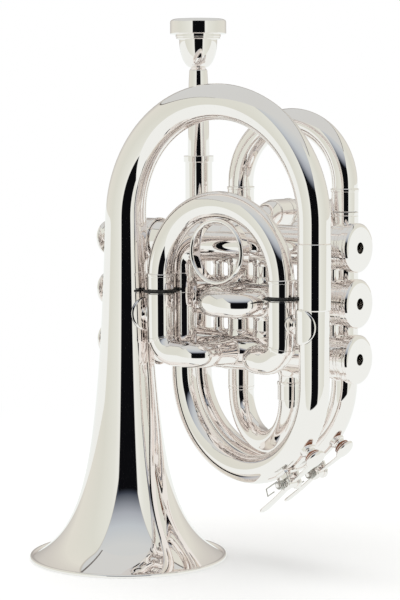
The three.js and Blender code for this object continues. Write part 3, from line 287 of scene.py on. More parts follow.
# Water keys
KEY_HINGE_ANGLE = math.radians(58)
KEY_NIPPLE_ANGLE = math.radians(37)
KEY_HINGE_HEIGHT = 4.4
NIPPLE_HEIGHT = 2.6
NIPPLE_RADIUS = 2.9
NIPPLE_BORE_RADIUS = 1.4
CORK_RADIUS = 3.8
CORK_HEIGHT = 2.8
CORK_GAP = 0.02
CUP_FOOT_RISE = 2.15
CUP_ROOM = 0.06
CUP_REACH = 1.2
HUB_RADIUS = 2.3
HUB_WIDTH = 4.6
PIN_RADIUS = 0.95
PIN_HEAD_LENGTH = 0.9
EAR_THICKNESS = 1.6
EAR_RADIUS = 3
EAR_EDGE = 0.2
SADDLE_BASE_LENGTH = 9
FOOT_SINK = 0.55
FOOT_HALF_THICKNESS = 1.45
LEVER_THICKNESS = 1.5
LEVER_WAIST = 1.7
LEVER_CUP_SPREAD = 1.1
LEVER_TIP_SPREAD = 0.9
LEVER_CURVE = 1.4
LEVER_TIP_ROUND = 3.8
LEVER_START_ROUND = 2
LEVER_TIP_TAPER = 1.2
LEVER_SECTION_POWER = 2.6
FOOT_SECTION_POWER = 3.5
LEVER_TIP_REACH = 25
LEVER_TIP_RISE = 3.4
LEVER_SAG = -2.6
KEY_SPRING_RADIUS = 1.75
KEY_SPRING_WIRE = 0.3
KEY_SPRING_TURNS = 3
KEY_SPRING_PITCH = 1.15
KEY_SPRING_LEG = 8
KEY_LOOP_WIDTH = 3.2
CORK_BAND_RISE = 0.95
CORK_BAND_WIDTH = 0.3

# Fineness of the meshes
COIL_STEPS = 32
WIRE_SIDES = 12
TUBE_SIDES = 64
FINE_SIDES = 128
LOFT_SIDES = 40
CUP_STEPS = 14
RIM_STEPS = 12
STOP_RING_STEPS = 24
SADDLE_RINGS = 16
LEVER_STEPS = 48
FOOT_STEPS = 24
EAR_STEPS = 16
BELL_RINGS = 48
BOW_RINGS = 30
BELL_SIDES = 160
BEND_STEP = math.radians(3)
EDGE_ROUND = 0.22
CAP_EDGE_ROUND = 0.15
EDGE_STEPS = 4
SUPPORT_REACH = 0.35
CORNER_ANGLE = math.radians(12)
SHARP_ANGLE = math.radians(50)
TINY = 1e-4


# Shader nodes


def fill(tree, node, values):
    """Gives a node's sockets, named or numbered, a constant or another node's output."""
    for key, value in values.items():
        socket = node.inputs[key.replace("_", " ") if isinstance(key, str) else key]
        if isinstance(value, bpy.types.NodeSocket):
            tree.links.new(value, socket)
        else:
            socket.default_value = value


def add_node(tree, kind, *sources, operation=None, **values):
    node = tree.nodes.new(f"ShaderNode{kind}")
    if operation:
        node.operation = operation
    fill(tree, node, {**dict(enumerate(sources)), **values})
    return node


def reckon(tree, operation, *sources):
    return add_node(tree, "Math", *sources, operation=operation).outputs[0]


def share_between(tree, value, low, high):
    """0 below the low value, 1 above the high one, and smooth in between."""
    node = add_node(tree, "MapRange", Value=value, From_Min=low, From_Max=high)
    node.interpolation_type = "SMOOTHSTEP"
    return node.outputs["Result"]


def mixed_colour(tree, share, first, second):
    node = tree.nodes.new("ShaderNodeMix")
    node.data_type = "RGBA"
    fill(tree, node, {0: share, 6: first, 7: second})
    return node.outputs[2]


def mixed_shader(tree, share, first, second):
    return add_node(tree, "MixShader", share, first, second).outputs["Shader"]


def colour_stops(tree, value, stops, scale=1):
    node = add_node(tree, "ValToRGB", Fac=value)
    elements = node.color_ramp.elements
    while len(elements) < len(stops):
        elements.new(0.5)
    for element, (place, colour) in zip(elements, stops):
        element.position = place * scale
        element.color = (*colour, 1)
    return node.outputs["Color"]


# Materials


def principled(name, **values):
    material = bpy.data.materials.new(name)
    material.use_nodes = True
    tree = material.node_tree
    shader = tree.nodes["Principled BSDF"]
    fill(tree, shader, values)
    return material, tree, shader, add_node(tree, "TexCoord").outputs["Object"]


def worn(name, drift, low_colour, high_colour, haze, stretch=(1, 1, 1), bump=None, **values):
    """A material whose colour drifts between two near tones and whose roughness varies, as handling
    leaves it. Drift is the scale of the tones, haze the scale and the two limits of the roughness, and
    bump the strength and depth of a relief."""
    material, tree, shader, place = principled(name, **values)
    tones = add_node(tree, "TexNoise", Vector=place, Scale=drift, Detail=4, Roughness=0.55)
    colours = [(0.3, low_colour), (0.7, high_colour)]
    stretched = add_node(tree, "Mapping", Vector=place, Scale=stretch).outputs["Vector"]
    grain = add_node(tree, "TexNoise", Vector=stretched, Scale=haze[0], Detail=6, Roughness=0.6)
    limits = {"From_Min": 0.35, "From_Max": 0.65, "To_Min": haze[1], "To_Max": haze[2]}
    spread = add_node(tree, "MapRange", Value=grain.outputs["Fac"], **limits)
    base = colour_stops(tree, tones.outputs["Fac"], colours)
    fill(tree, shader, {"Base_Color": base, "Roughness": spread.outputs["Result"]})
    if bump:
        add_bump(tree, shader, grain.outputs["Fac"], *bump)
    return material


def add_bump(tree, shader, height, strength, distance):
    bump = add_node(tree, "Bump", Height=height, Strength=strength, Distance=distance)
    fill(tree, shader, {"Normal": bump.outputs["Normal"]})


def silver_plate():
    """Polished silver plate: a near mirror with the faintest haze and warm drift."""
    tones = [(0.945, 0.89, 0.868), (0.96, 0.91, 0.89)]
    return worn("silver_plate", 22, *tones, (160, 0.012, 0.04), Metallic=1)


def piston_metal():
    """Nickel alloy, honed round its length."""
    tones = [(0.6, 0.59, 0.56), (0.68, 0.67, 0.64)]
    return worn("piston_metal", 60, *tones, (900, 0.16, 0.32), stretch=(12, 1, 1), Metallic=1)


def spring_steel():
    tones = [(0.5, 0.48, 0.45), (0.62, 0.6, 0.56)]
    return worn("spring_steel", 300, *tones, (1200, 0.22, 0.4), Metallic=1)


def rubber():
    tones = [(0.004, 0.004, 0.004), (0.012, 0.011, 0.01)]
    return worn("rubber", 500, *tones, (1500, 0.35, 0.6), bump=(0.25, 0.00005), Specular_IOR_Level=0.3)


def cork():
    """Natural cork, reddish brown with darker lenticels."""
    material = worn("cork", 900, (0.19, 0.06, 0.03), (0.42, 0.17, 0.085), (900, 0.55, 0.8))
    tree = material.node_tree
    place = add_node(tree, "TexCoord").outputs["Object"]
    cells = add_node(tree, "TexVoronoi", Vector=place, Scale=1400)
    add_bump(tree, tree.nodes["Principled BSDF"], cells.outputs["Distance"], 0.5, 0.0002)
    return material


def felt():
    sheen = {"Sheen_Weight": 0.4, "Sheen_Roughness": 0.5}
    tones = [(0.55, 0.54, 0.5), (0.7, 0.69, 0.64)]
    return worn("felt", 2500, *tones, (3000, 0.8, 0.95), bump=(0.6, 0.0003), **sheen)


def pearl():
    """Mother of pearl: pale bands that drift between pink, green and cream."""
    gloss = {"Coat_Weight": 0.6, "Coat_Roughness": 0.05, "Roughness": 0.2}
    material, tree, shader, place = principled("pearl", **gloss)
    ripple = {"Scale": 60, "Distortion": 14, "Detail": 3, "Detail_Scale": 1.4}
    wave = add_node(tree, "TexWave", Vector=place, **ripple)
    bands = [(0, (0.9, 0.84, 0.86)), (0.5, (0.93, 0.91, 0.84)), (1, (0.8, 0.88, 0.86))]
    fill(tree, shader, {"Base_Color": colour_stops(tree, wave.outputs["Fac"], bands)})
    return material


makers = [silver_plate, piston_metal, spring_steel, rubber, cork, pearl]
MATERIALS = {maker.__name__: maker() for maker in makers}
FELT = felt()

# Meshes


def piece(name, points, faces, nodes=(), slot="silver_plate", body="instrument", material=None):
    """A closed, smooth-shaded mesh that rides on a body and stands for model nodes."""
    mesh = bpy.data.meshes.new(name)
    build = bmesh.new()
    corners = [build.verts.new(in_metres(at)) for at in points]
    for face in faces:
        build.faces.new([corners[index] for index in face])
    bmesh.ops.remove_doubles(build, verts=build.verts, dist=TINY * MM)
    bmesh.ops.dissolve_degenerate(build, edges=build.edges, dist=TINY * MM)
    bmesh.ops.recalc_face_normals(build, faces=build.faces)
    build.to_mesh(mesh)
    build.free()
    mesh.shade_smooth()
    mesh.set_sharp_from_angle(angle=SHARP_ANGLE)
    made = bpy.data.objects.new(name, mesh)
    bpy.context.collection.objects.link(made)
    mesh.materials.append(material or MATERIALS[slot])
    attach(made, body)
    if nodes:
        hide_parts(*nodes)
    return made


def circle(at, side, other, radius, sides):
    turns = [2 * math.pi * step / sides for step in range(sides)]
    return [at + side * (radius * math.cos(turn)) + other * (radius * math.sin(turn)) for turn in turns]


def ring_faces(count, sides, joined=False, capped=False):
    """Faces between rings of points, which may join into a loop or be capped at both ends."""
    faces = []
    for ring in range(count if joined else count - 1):
        here = ring * sides
        there = (ring + 1) % count * sides
        for step in range(sides):
            after = (step + 1) % sides
            faces.append((here + step, here + after, there + after, there + step))
    if capped:
        faces.append(tuple(reversed(range(sides))))
        faces.append(tuple(range((count - 1) * sides, count * sides)))
    return faces


def soften(points, radius, joined=True, keep=lambda at: False):
    """A profile with each corner rounded off, and a point beyond each round that holds the flat flat."""
    count = len(points)
    shares = [step / EDGE_STEPS for step in range(EDGE_STEPS + 1)]
    soft = []
    for index, here in enumerate(points):
        back = points[index - 1] - here
        ahead = points[(index + 1) % count] - here
        reach = min(radius, 0.4 * back.length, 0.4 * ahead.length)
        loose = not joined and index in (0, count - 1)
        if loose or keep(here) or reach < TINY or (-back).angle(ahead) < CORNER_ANGLE:
            soft.append(here)
            continue
        start, end = (here + way.normalized() * reach for way in (back, ahead))
        held = reach + SUPPORT_REACH
        if back.length / 2 > held:
            soft.append(here + back.normalized() * held)
        for share in shares:
            soft.append(start * (1 - share) ** 2 + here * (2 * share * (1 - share)) + end * share**2)
        if ahead.length / 2 > held:
            soft.append(here + ahead.normalized() * held)
    return soft


class Route:
    """The centre line of a tube: straight runs and round bends, one after the other."""

    def __init__(self, at, heading):
        reference = X_AXIS if abs(heading.x) < math.sqrt(0.5) else Y_AXIS
        side = (reference - heading * reference.dot(heading)).normalized()
        self.runs = []
        self.stops = []
        self.length = 0
        self.tip = (at.copy(), heading.normalized(), side)

    def add(self, length, radius=None, towards=None):
        self.runs.append((self.length, self.tip, radius, towards))
        if radius:
            count = max(2, math.ceil(length / radius / BEND_STEP))
            self.stops += [self.length + length * step / count for step in range(count + 1)]
        elif length > 4 * SUPPORT_REACH:
            self.stops += [self.length + SUPPORT_REACH, self.length + length - SUPPORT_REACH]
        self.length += length
        self.tip = self.place(self.length)
        return self

    def straight(self, length):
        return self.add(length)

    def bend(self, radius, angle, towards):
        return self.add(radius * angle, radius, towards)

    def place(self, along):
        """The point, heading and sideways direction at a distance along the route."""
        begun = [run for run in self.runs if along >= run[0] - TINY] or self.runs[:1]
        start, (at, heading, side), radius, towards = begun[-1]
        past = along - start
        if not radius:
            return at + heading * past, heading, side
        turn = Quaternion(heading.cross(towards), past / radius)
        centre = at + towards * radius
        return centre + turn @ (at - centre), turn @ heading, turn @ side


def with_stops(route, profile, joined):
    """The profile with a point at each stop of the route that one of its sides passes."""
    full = []
    margin = SUPPORT_REACH / 8
    pairs = zip(profile, profile[1:] + profile[:1])
    for here, there in list(pairs)[: None if joined else -1]:
        full.append(here)
        low, high = sorted((here.x, there.x))
        passed = [stop for stop in route.stops if low + margin < stop < high - margin]
        if here.x > there.x:
            passed.reverse()
        full += [here.lerp(there, (stop - here.x) / (there.x - here.x)) for stop in passed]
    return full if joined else [*full, profile[-1]]


def sweep(route, profile, sides, joined=True):
    """Points, faces and stations of a profile of (distance, radius) points carried round a route."""
    points = []
    stations = with_stops(route, profile, joined)
    for along, radius in stations:
        at, heading, side = route.place(along)
        points += circle(at, side, heading.cross(side), radius, sides)
    return points, ring_faces(len(stations), sides, joined), stations


def seat_on_casing(route, end, points, stations, valve_z):
    """Moves a tube's rings at one end outwards until they lie in the wall of a valve casing."""
    heading = route.place(end)[1] * (-1 if end < route.length / 2 else 1)
    for ring, (along, _) in enumerate(stations):
        if abs(along - end) > TINY:
            continue
        for index in range(ring * TUBE_SIDES, (ring + 1) * TUBE_SIDES):
            at = points[index]
            from_axis = Vector((0, at.y - valve_axis_y, at.z - valve_z))
            reach = from_axis.dot(heading)
            inside = reach**2 - from_axis.length_squared + (CASING_RADIUS - SEAT_DEPTH) ** 2
            points[index] = at + heading * (-reach - math.sqrt(max(inside, 0)))


def tube(name, route, outer, bore, nodes=None, body="instrument", valve_z=None, start_valve_z=None):
    """A tube along a route, from knots of (distance, radius); its ends may lie on valve casings."""
    if not isinstance(bore, list):
        bore = stepped((route.length, bore))
    ends = ((route.length, valve_z), (0, start_valve_z))
    seats = [(end, casing_z) for end, casing_z in ends if casing_z is not None]
    outline = [Vector(knot) for knot in [*outer, *reversed(bore)]]
    profile = soften(outline, EDGE_ROUND, keep=lambda at: any(abs(at.x - end) < TINY for end, _ in seats))
    points, faces, stations = sweep(route, profile, TUBE_SIDES)
    for end, casing_z in seats:
        seat_on_casing(route, end, points, stations, casing_z)
    piece(f"{name}_tube", points, faces, [name] if nodes is None else nodes, body=body)


def turned(name, at, heading, outline, nodes=(), edge=EDGE_ROUND, sides=TUBE_SIDES, **looks):
    """A lathe-turned piece: an outline of (height, radius) points round a straight axis."""
    joined = outline[0][1] > 0
    profile = soften([Vector(knot) for knot in outline], edge, joined)
    points, faces, _ = sweep(Route(at, heading).straight(0), profile, sides, joined)
    piece(name, points, faces, nodes, **looks)


# Knots of (distance, radius) for outlines


def stepped(*ends, start=0):
    """Plain cylinders one after the other, each given by its end and its radius."""
    knots = []
    for end, radius in ends:
        knots += [(start, radius), (end, radius)]
        start = end
    return knots


def groove(along, radius, depth=0.22, width=0.5):
    """A fine groove turned into a wall, or a ring on it where the depth is below zero."""
    low, high = along - width / 2, along + width / 2
    return [(low, radius), (low, radius - depth), (high, radius - depth), (high, radius)]


def beaded(start, end, radius, next_radius):
    """A ferrule that ends in a bead, where the tube steps down to the radius that follows."""
    bead = end - FERRULE_BEAD_LENGTH
    return [*stepped((bead, radius), (end, radius + FERRULE_BEAD_STEP), start=start), (end, next_radius)]


def flared(length, radius):
    """A tube's last stretch, which ends in a fillet of solder on the casing."""
    fillet = [(length - SOLDER_REACH, radius), (length - SOLDER_REACH / 3, radius + SOLDER_RISE / 4)]
    return [*fillet, (length, radius + SOLDER_RISE)]


def socket_bore(outer):
    return outer - SOCKET_WALL


def tenon_radius(bore):
    return bore - JOINT_GAP


def tenon_bore(bore):
    return tenon_radius(bore) - TENON_WALL


def socket_bores(length, socket):
    """A bore with a socket at its start."""
    return stepped((SOCKET_DEPTH, socket), (length, tenon_bore(socket)))


LEG_SOCKET = socket_bore(LEG_RADIUS)
RISER_SOCKET = socket_bore(RISER_FERRULE_RADIUS)
FERRULE_SOCKET = socket_bore(FERRULE_RADIUS)
RECEIVER_SOCKET = socket_bore(RECEIVER_RADIUS)
SOCKET_DEPTH = TENON_LENGTH + JOINT_GAP

# Bell, bows and riser


def bell_radius(z):
    from_vertex = z + BELL_MOUTH_DROP + BELL_FLARE_OFFSET
    return BELL_RIM_RADIUS * (BELL_FLARE_OFFSET / from_vertex) ** BELL_FLARE_EXPONENT


def hermite(share, start, end, start_slope, end_slope):
    square = share * share
    cube = square * share
    rising = start * (2 * cube - 3 * square + 1) + start_slope * (cube - 2 * square + share)
    return rising + end * (3 * square - 2 * cube) + end_slope * (cube - square)


def bell_and_bow():
    """The bell and its bow, brazed into one tube that narrows all the way from the rim."""
    bow_radius = bell_bow_span / 2
    stem = BELL_MOUTH_DROP + BELL_BOW_CENTRE_Z
    half_curve = math.pi * bow_radius / 2
    route = Route(-BELL_MOUTH_DROP * UP, UP).straight(stem).bend(bow_radius, math.pi, X_AXIS)
    route.straight(BELL_BOW_CENTRE_Z - leg_top_z + TENON_LENGTH)
    outer = []
    inner = []
    for index in range(BELL_RINGS + 1):
        along = RIM_LENGTH + (stem - RIM_LENGTH) * (index / BELL_RINGS) ** 2
        wall = bell_radius(along - BELL_MOUTH_DROP)
        slope = BELL_FLARE_EXPONENT * wall / (along + BELL_FLARE_OFFSET)
        normal = math.hypot(1, slope)
        outer.append((along, wall))
        inner.append((along - BELL_WALL * slope / normal, wall - BELL_WALL / normal))
    start = bell_radius(BELL_BOW_CENTRE_Z)
    walls = [start, BELL_BOW_APEX_RADIUS, BELL_BOW_END_RADIUS]
    start_slope = -BELL_FLARE_EXPONENT * start / (stem + BELL_FLARE_OFFSET) * half_curve
    slopes = [start_slope, (BELL_BOW_END_RADIUS - start) / 2, 0]
    for index in range(1, 2 * BOW_RINGS + 1):
        share = index / BOW_RINGS
        part = int(index > BOW_RINGS)
        wall = hermite(share - part, *walls[part:part + 2], *slopes[part:part + 2])
        outer.append((stem + half_curve * share, wall))
        inner.append((stem + half_curve * share, wall - BELL_WALL))
    shoulder = route.length - TENON_LENGTH
    tenon = tenon_radius(LEG_SOCKET)
    outer += [(shoulder, BELL_BOW_END_RADIUS), (shoulder, tenon), (route.length, tenon)]
    inner.append((route.length, tenon_bore(LEG_SOCKET)))
    bead = []
    for degrees in range(-90, 171, 20):
        angle = math.radians(degrees)
        wall = BELL_RIM_RADIUS + RIM_BEAD_RADIUS * (math.cos(angle) - 1)
        bead.append((RIM_BEAD_RADIUS * (1 + math.sin(angle)), wall))
    profile = [Vector(knot) for knot in [*bead, *outer, *reversed(inner)]]
    points, faces, _ = sweep(route, profile, BELL_SIDES)
    piece("bell_and_bow", points, faces, ["bell", "bell_bow"])


def bell_leg():
    length = leg_top_z - leg_bottom_z
    route = Route(Vector((bell_bow_span, 0, leg_top_z)), DOWN).straight(length)
    narrow = LEG_RADIUS - LEG_CHAMFER
    outer = [(0, narrow), (LEG_CHAMFER, LEG_RADIUS), (length - LEG_CHAMFER, LEG_RADIUS), (length, narrow)]
    plain = (length - SOCKET_DEPTH, tenon_bore(LEG_SOCKET))
    tube("bell_leg", route, outer, stepped((SOCKET_DEPTH, LEG_SOCKET), plain, (length, LEG_SOCKET)))


def bottom_bow(name, legs, centre_z, joint_zs, radii, sockets):
    """A bottom bow that stands in a socket at each end."""
    across = legs[1] - legs[0]
    tops = [joint_z + TENON_LENGTH - centre_z for joint_z in joint_zs]
    route = Route(legs[0] + UP * (joint_zs[0] + TENON_LENGTH), DOWN).straight(tops[0])
    bend_start = max(route.length, TENON_LENGTH + 2 * JOINT_GAP)
    route.bend(across.length / 2, math.pi, across.normalized())
    bend_end = min(route.length, route.length + tops[1] - TENON_LENGTH - 2 * JOINT_GAP)
    route.straight(tops[1])
    length = route.length
    tenons = [tenon_radius(bore) for bore in sockets]
    bores = [tenon_bore(bore) for bore in sockets]
    outer = stepped((TENON_LENGTH, tenons[0]), (bend_start, radii[0]))
    outer += stepped((length - TENON_LENGTH, radii[1]), (length, tenons[1]), start=bend_end)
    bore = [*stepped((bend_start, bores[0])), *stepped((length, bores[1]), start=bend_end)]
    tube(name, route, outer, bore)


riser_x = third_left_x + RISER_OFFSET_X
riser_y = math.sqrt((STOP_RING_RADIUS + RISER_FERRULE_RADIUS + JOINT_GAP) ** 2 - RISER_OFFSET_X**2)
front_legs = [Vector((bell_bow_span, 0, 0)), Vector((riser_x, riser_y, 0))]
front_radii = [FRONT_BOW_WIDE_RADIUS, RISER_RADIUS]
back_legs = [Vector((leadpipe_x, back_plane_y, 0)), Vector((tuning_right_x, back_plane_y, 0))]
back_radii = [LEADPIPE_RADIUS, BACK_TUBE_RADIUS]
small_legs = [Vector((tuning_left_x, back_plane_y, 0)), Vector((small_bow_port_x, valve_axis_y, 0))]
back_sockets = [FERRULE_SOCKET, SLEEVE_BORE]


def bottom_bows():
    joint_zs = [leg_bottom_z, riser_bottom_z]
    sockets = [LEG_SOCKET, RISER_SOCKET]
    bottom_bow("front_bottom_bow", front_legs, FRONT_BOW_CENTRE_Z, joint_zs, front_radii, sockets)
    joint_zs = [back_bow_joint_z] * 2
    bottom_bow("back_bottom_bow", back_legs, BACK_BOW_CENTRE_Z, joint_zs, back_radii, back_sockets)
    joint_zs = [small_bow_joint_z] * 2
    turned_back = back_radii[::-1], back_sockets[::-1]
    bottom_bow("small_bottom_bow", small_legs, SMALL_BOW_CENTRE_Z, joint_zs, *turned_back)


def bell_riser():
    valve_z = valve_zs[0]
    run = RISER_PORT_X - riser_x - RISER_ELBOW_RADIUS - PORT_ELBOW_RADIUS
    route = Route(Vector((riser_x, riser_y, riser_bottom_z)), UP)
    route.straight(valve_z - RISER_ELBOW_RADIUS - riser_bottom_z)
    route.bend(RISER_ELBOW_RADIUS, math.pi / 2, X_AXIS).straight(run)
    route.bend(PORT_ELBOW_RADIUS, math.pi / 2, Y_AXIS)
    route.straight(valve_axis_y - riser_y - PORT_ELBOW_RADIUS - CASING_RADIUS)
    ferrule = stepped((RISER_FERRULE_LENGTH, RISER_FERRULE_RADIUS))
    outer = [*ferrule, (RISER_FERRULE_LENGTH, RISER_RADIUS), *flared(route.length, RISER_RADIUS)]
    tube("bell_riser", route, outer, socket_bores(route.length, RISER_SOCKET), valve_z=valve_z)


# Valves, turned round their own axes; heights along them are the model's X


def casing_outline():
    """The casing, with fine rings where its balusters meet it and by its caps."""
    neck = TOP_CAP_END_X - CASING_NECK_ROOM
    outer = [*stepped((neck, CASING_RADIUS - CASING_NECK_STEP), start=CASING_TOP_X), (neck, CASING_RADIUS)]
    for along in CASING_RING_XS:
        outer += groove(along, CASING_RADIUS, -CASING_RING_STEP, CASING_RING_LENGTH)
    outer.append((CASING_BOTTOM_X, CASING_RADIUS))
    return [*outer, (CASING_BOTTOM_X, CASING_BORE_RADIUS), (CASING_TOP_X, CASING_BORE_RADIUS)]


def top_cap_outline():
    face, end, rim = TOP_CAP_FACE_X, TOP_CAP_END_X, TOP_CAP_RADIUS
    roof = CASING_TOP_X - JOINT_GAP
    hole = STEM_RADIUS + STEM_ROOM
    outer = [(face + along, rim - inset) for along, inset in TOP_CAP_CROWN]
    for along in (face + TOP_CAP_FACE_GROOVE, end - TOP_CAP_END_GROOVE):
        outer += groove(along, rim, TOP_CAP_GROOVE_DEPTH)
    outer.append((end - CAP_BEAD_LENGTH, rim))
    outer += stepped((end, rim + CAP_BEAD_STEP), start=end - CAP_BEAD_LENGTH)
    return [(face, hole), *outer, (end, CAP_BORE_RADIUS), (roof, CAP_BORE_RADIUS), (roof, hole)]


def bottom_cap_outline():
    face, end, rim, skirt = BOTTOM_CAP_FACE_X, BOTTOM_CAP_END_X, BOTTOM_CAP_RADIUS, BOTTOM_CAP_SKIRT_RADIUS
    shoulder = CASING_BOTTOM_X + JOINT_GAP
    ring_end = face - BOTTOM_CAP_CHAMFER - BOTTOM_CAP_RING_LENGTH
    crown = [(0, 1.6), (0.25, 0.75), (BOTTOM_CAP_CHAMFER, 0)]
    outer = [(face - along, rim - inset) for along, inset in crown]
    outer += reversed(groove(face - BOTTOM_CAP_RING_GROOVE, rim, BOTTOM_CAP_GROOVE_DEPTH, 0.4))
    outer += [(ring_end, rim), (ring_end, skirt)]
    for along in BOTTOM_CAP_SKIRT_GROOVES:
        outer += reversed(groove(ring_end - along, skirt, BOTTOM_CAP_GROOVE_DEPTH))
    outer.append((end + CAP_BEAD_LENGTH, skirt))
    outer += stepped((end, skirt + CAP_BEAD_STEP), start=end + CAP_BEAD_LENGTH)
    inner = [(end, CAP_BORE_RADIUS), (shoulder, CAP_BORE_RADIUS), (shoulder, CAP_VENT_RADIUS)]
    return [(face, CAP_VENT_RADIUS), *outer, *inner]


def button_outline():
    top, bottom, rim = BUTTON_TOP_X, BUTTON_BOTTOM_X, BUTTON_RADIUS
    recess = INLAY_RADIUS + JOINT_GAP
    socket = STEM_RADIUS + JOINT_GAP
    neck = socket + BUTTON_NECK_WALL
    waist = bottom - BUTTON_NECK_LENGTH
    floor_x = top + BUTTON_RECESS_DEPTH
    dish = [(floor_x, 0), (floor_x, recess), (top + 0.15, recess), (top, recess + 0.35)]
    edge = [(top + 0.2, rim - 0.55), (top + 0.75, rim), (top + 1.75, rim), (top + 2.3, rim - 0.9)]
    stalk = [(waist - 1.4, neck + 2.4), (waist - 0.7, neck + 0.9), (waist, neck), (bottom, neck)]
    hole = [(bottom, socket), (STEM_TIP_X - JOINT_GAP, socket), (STEM_TIP_X - JOINT_GAP, 0)]
    return [*dish, *edge, *stalk, *hole]


def inlay_outline():
    top, rim = BUTTON_TOP_X, INLAY_RADIUS
    foot = top + BUTTON_RECESS_DEPTH - SNUG
    dome = [(top + 0.28, rim - 0.6), (top + 0.12, rim - 2), (top + 0.02, rim / 3), (top, 0)]
    return [(foot, 0), (foot, rim), (top + 0.55, rim), *dome]


def piston_outline():
    stem = [(STEM_TIP_X, 0), *stepped((BARREL_TOP_X, STEM_RADIUS), start=STEM_TIP_X)]
    lower = stepped((PISTON_TOP_X, BARREL_RADIUS), (PISTON_BOTTOM_X, PISTON_RADIUS), start=BARREL_TOP_X + 1)
    return [*stem, (BARREL_TOP_X, BARREL_RADIUS - 0.8), *lower, (PISTON_BOTTOM_X, 0)]


def felt_outline():
    start, end = BUTTON_BOTTOM_X + SNUG, BUTTON_BOTTOM_X + FELT_REACH
    bore = STEM_RADIUS + SNUG
    narrow = FELT_RADIUS - FELT_CHAMFER
    side = stepped((end - FELT_CHAMFER, FELT_RADIUS), start=start + FELT_CHAMFER)
    return [(start, bore), (start, narrow), *side, (end, narrow), (end, bore)]


def coil(at, heading, side, radius, start, end, turns):
    """Points of a helix round a heading."""
    steps = turns * COIL_STEPS
    ring = circle(at, side, heading.cross(side), radius, COIL_STEPS)
    heights = [start + (end - start) * step / steps for step in range(steps + 1)]
    return [ring[step % COIL_STEPS] + heading * height for step, height in enumerate(heights)]


def wire(name, path, radius, nodes):
    """Round wire along a list of points, closed at both ends."""
    points = []
    side = (path[1] - path[0]).orthogonal().normalized()
    last = len(path) - 1
    for index, at in enumerate(path):
        heading = (path[min(index + 1, last)] - path[max(index - 1, 0)]).normalized()
        side = (side - heading * side.dot(heading)).normalized()
        points += circle(at, side, heading.cross(side), radius, WIRE_SIDES)
    return piece(name, points, ring_faces(len(path), WIRE_SIDES, capped=True), nodes, "spring_steel")


def valve_spring(number, at):
    start = PISTON_BOTTOM_X + JOINT_GAP + PISTON_SPRING_WIRE
    end = CASING_BOTTOM_X - PISTON_SPRING_WIRE
    radius = PISTON_RADIUS - PISTON_SPRING_INSET
    path = coil(at, X_AXIS, Y_AXIS, radius, start, end, PISTON_SPRING_TURNS)
    spring = wire(f"valve_spring_{number}", path, PISTON_SPRING_WIRE, [f"piston_spring_{number}"])
    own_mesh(spring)


def knuckle(name, x, upper, radius, bore):
    """A short tube between two casings, shaped to lie on both."""
    valve_z, below_z = valve_zs[upper], valve_zs[upper + 1]
    length = valve_z - below_z - 2 * CASING_RADIUS
    route = Route(Vector((x, valve_axis_y, valve_z - CASING_RADIUS)), DOWN).straight(length)
    foot = radius + SOLDER_RISE
    outer = [(0, foot), (KNUCKLE_FILLET, radius), (length - KNUCKLE_FILLET, radius), (length, foot)]
    tube(name, route, outer, bore, (), valve_z=below_z, start_valve_z=valve_z)


def valves():
    for number, valve_z in enumerate(valve_zs, 1):
        at = Vector((0, valve_axis_y, valve_z))
        moving = {"body": f"valve_{number}"}
        cap = {"edge": CAP_EDGE_ROUND}
        for name, node, outline, looks in (
            ("casing", "valve_casing", casing_outline(), {}),
            ("upper_cap", "top_cap", top_cap_outline(), cap),
            ("lower_cap", "bottom_cap", bottom_cap_outline(), cap),
            ("button", "finger_button", button_outline(), moving),
            ("pearl", "button_inlay", inlay_outline(), {"slot": "pearl", **moving}),
            ("piston_and_stem", "piston", piston_outline(), {"slot": "piston_metal", **moving}),
        ):
            turned(f"{name}_{number}", at, X_AXIS, outline, [f"{node}_{number}"], **looks)
        turned(f"button_felt_{number}", at, X_AXIS, felt_outline(), slot="cork", material=FELT, **moving)
        valve_spring(number, at)
    for upper in (0, 1):
        for x in KNUCKLE_XS:
            knuckle(f"knuckle_{upper + 1}_{x}", x, upper, KNUCKLE_RADIUS, KNUCKLE_BORE)
        for x in SPACER_XS:
            knuckle(f"spacer_{upper + 1}_{x}", x, upper, SPACER_RADIUS, SPACER_BORE)


# Leadpipe, receiver and mouthpiece


def leadpipe():
    length = receiver_bottom_z + TENON_LENGTH - back_bow_joint_z
    route = Route(Vector((leadpipe_x, back_plane_y, back_bow_joint_z)), UP).straight(length)
    shoulder = length - TENON_LENGTH
    outer = [*beaded(0, FERRULE_LENGTH, FERRULE_RADIUS, LEADPIPE_RADIUS), (shoulder, LEADPIPE_RADIUS)]
    outer += stepped((length, tenon_radius(RECEIVER_SOCKET)), start=shoulder)
    tube("leadpipe", route, outer, socket_bores(length, FERRULE_SOCKET))


def mouthpiece_receiver():
    length = receiver_top_z - receiver_bottom_z
    route = Route(Vector((leadpipe_x, back_plane_y, receiver_bottom_z)), UP).straight(length)
    shank_end = length - MOUTHPIECE_INSERTION - JOINT_GAP
    bead = length - RECEIVER_BEAD_LENGTH
    outer = [(0, RECEIVER_RADIUS - 0.25), (0.9, RECEIVER_RADIUS), *groove(2.6, RECEIVER_RADIUS)]
    outer += [(bead, RECEIVER_RADIUS), *stepped((length, RECEIVER_BEAD_RADIUS), start=bead)]
    bore = stepped((SOCKET_DEPTH, RECEIVER_SOCKET), (shank_end, RECEIVER_THROAT_RADIUS))
    bore += [(shank_end, SHANK_END_RADIUS + JOINT_GAP), (length, SHANK_MOUTH_RADIUS + JOINT_GAP)]
    tube("mouthpiece_receiver", route, outer, bore)


